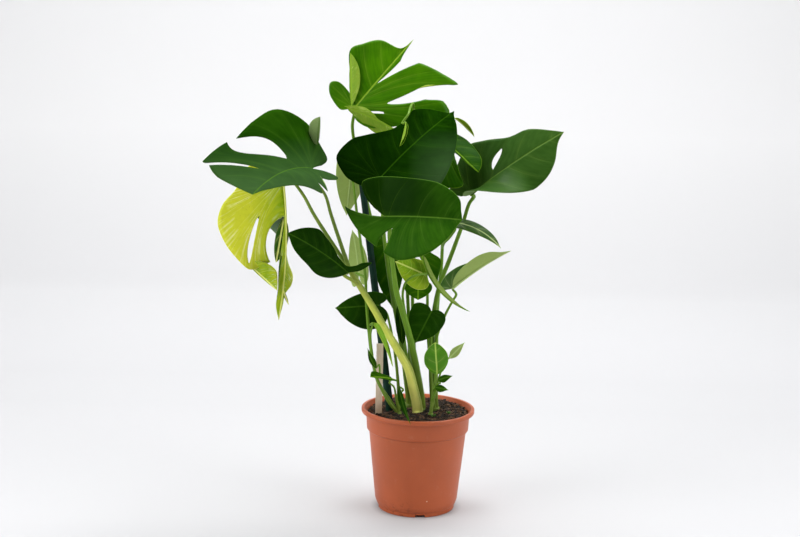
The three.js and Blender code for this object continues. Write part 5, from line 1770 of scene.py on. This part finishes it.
def wood_finish():
    """Bare pale wood, its grain running up, stained where it stands in the peat."""
    finish = Finish("pale_wood")
    x, _, z = finish.axes()
    where = finish.node("CombineXYZ", X=x * 900.0, Y=0.0, Z=z * 30.0)
    grain = finish.node("TexNoise", Vector=where, Scale=1.0, Detail=4.0)
    color = finish.mix(grain.fade(0.35, 0.7), srgb(226, 209, 188), srgb(198, 175, 147))
    damp = (1 - (z + finish.noise(60, 4) * 0.03).fade(0.2, 0.236)).clamped()
    color = finish.mix(damp * 0.75, color, srgb(136, 112, 78))
    relief = finish.bump(grain, 0.0004, 0.7)
    return finish.surface(Base_Color=color, Roughness=0.78, Normal=relief)


def make_label():
    x, y, z = LABEL_FOOT
    low = (x - LABEL_WIDTH / 2, y - LABEL_THICKNESS / 2, z)
    high = (x + LABEL_WIDTH / 2, y + LABEL_THICKNESS / 2, LABEL_TOP)
    points, faces = box_points(low, high)
    label = add_piece("wooden_label", points, faces, wood_finish())
    bevel = label.modifiers.new("worn edges", "BEVEL")
    bevel.width = 0.0005
    bevel.segments = 3
    label.data.set_sharp_from_angle(angle=math.radians(50))
    return stands_for(label, "label_stick")


make_label()
print("stake and label stick made")

# %% [markdown]
# ## Studio
#
# The plant stands on a pale seamless sweep under soft light: a dim surround, a large soft box at each side
# of the front, one above, and a wash on the paper behind. The gloss of the leaves is mostly the soft boxes
# seen in them, so their size and place matter more than their power. The paper glows a little, but not
# under the pot, to stand for a ground that is lit more brightly than the plant.

# %% Floor and sweep
SWEEP_WIDTH = 9.0
SWEEP_FRONT = -4.5
SWEEP_BACK = 2.4
SWEEP_RADIUS = 1.6
SWEEP_HEIGHT = 1.9


def make_sweep():
    finish = Finish("studio_paper")
    x, y, z = finish.axes()
    near = finish.mix(y.fade(-0.1, 0.7), srgb(108, 108, 108), srgb(74, 74, 74))
    far = finish.mix(y.fade(1.0, 2.2), near, srgb(122, 122, 122))
    glow = finish.mix(z.fade(0.0, 0.5), far, srgb(150, 150, 149))
    # Painted contact shadow: the paper's glow is taken away under and just round the pot's foot, so the paper
    # is darker there.
    clear = (x.power(2.0) + y.power(2.0)).fade(0.0048, 0.0075)
    glow = finish.mix(clear, (0.0, 0.0, 0.0), glow)
    finish.surface(Base_Color=srgb(180, 180, 182), Roughness=0.9, Specular_IOR_Level=0.1,
                   Emission_Color=glow, Emission_Strength=1.0)
    bends = [(SWEEP_BACK + SWEEP_RADIUS * math.sin(a), SWEEP_RADIUS * (1 - math.cos(a)))
             for a in np.linspace(0, math.pi / 2, 24)]
    line = [(SWEEP_FRONT, 0.0), *bends, (SWEEP_BACK + SWEEP_RADIUS, SWEEP_HEIGHT)]
    points = [(x / MM, y / MM, z / MM) for y, z in line for x in (-SWEEP_WIDTH / 2, SWEEP_WIDTH / 2)]
    faces = [[2 * i, 2 * i + 1, 2 * i + 3, 2 * i + 2] for i in range(len(line) - 1)]
    sweep = add_piece("sweep", points, faces, finish.material)
    return sweep


def make_light(name, spot, aim, size, power):
    data = bpy.data.lights.new(name, "AREA")
    data.shape = "RECTANGLE"
    data.size, data.size_y = size
    data.energy = power
    light = bpy.data.objects.new(name, data)
    bpy.context.scene.collection.objects.link(light)
    light.location = spot
    light.rotation_euler = (Vector(aim) - Vector(spot)).to_track_quat("-Z", "Y").to_euler()
    return light


SURROUND_LOW = 0.2
SURROUND_TOP = 0.4
FRONT_DIM = 0.9


def make_surround():
    """A dim room, lighter overhead than at eye level and darkest towards the front."""
    world = bpy.data.worlds.new("surround")
    world.use_nodes = True
    tree = world.node_tree
    background = tree.nodes["Background"]
    direction = tree.nodes.new("ShaderNodeTexCoord")
    split = tree.nodes.new("ShaderNodeSeparateXYZ")
    tree.links.new(direction.outputs["Generated"], split.inputs[0])
    height = Value(tree, split.outputs[2])
    front = (0 - Value(tree, split.outputs[1])).fade(0.5, 0.9)
    level = SURROUND_LOW + height.fade(0.05, 0.8) * (SURROUND_TOP - SURROUND_LOW)
    level = level * (1 - front * FRONT_DIM)
    tree.links.new(level.socket, background.inputs["Strength"])
    background.inputs["Color"].default_value = (0.97, 0.985, 1.0, 1)
    bpy.context.scene.world = world


make_sweep()
make_light("left box", (-2.4, -1.2, 1.5), (0, 0, 0.5), (1.8, 2.4), 66)
make_light("right box", (2.4, -1.0, 1.5), (0, 0, 0.5), (1.8, 2.4), 54)
make_light("top box", (0.1, 0.5, 2.9), (0, 0, 0.5), (2.0, 1.4), 66)
make_light("wash", (0.0, 1.2, 3.2), (0, 4.0, 1.0), (5.0, 1.2), 120)
make_surround()
bpy.context.scene.view_settings.view_transform = "Standard"
print("studio ready")
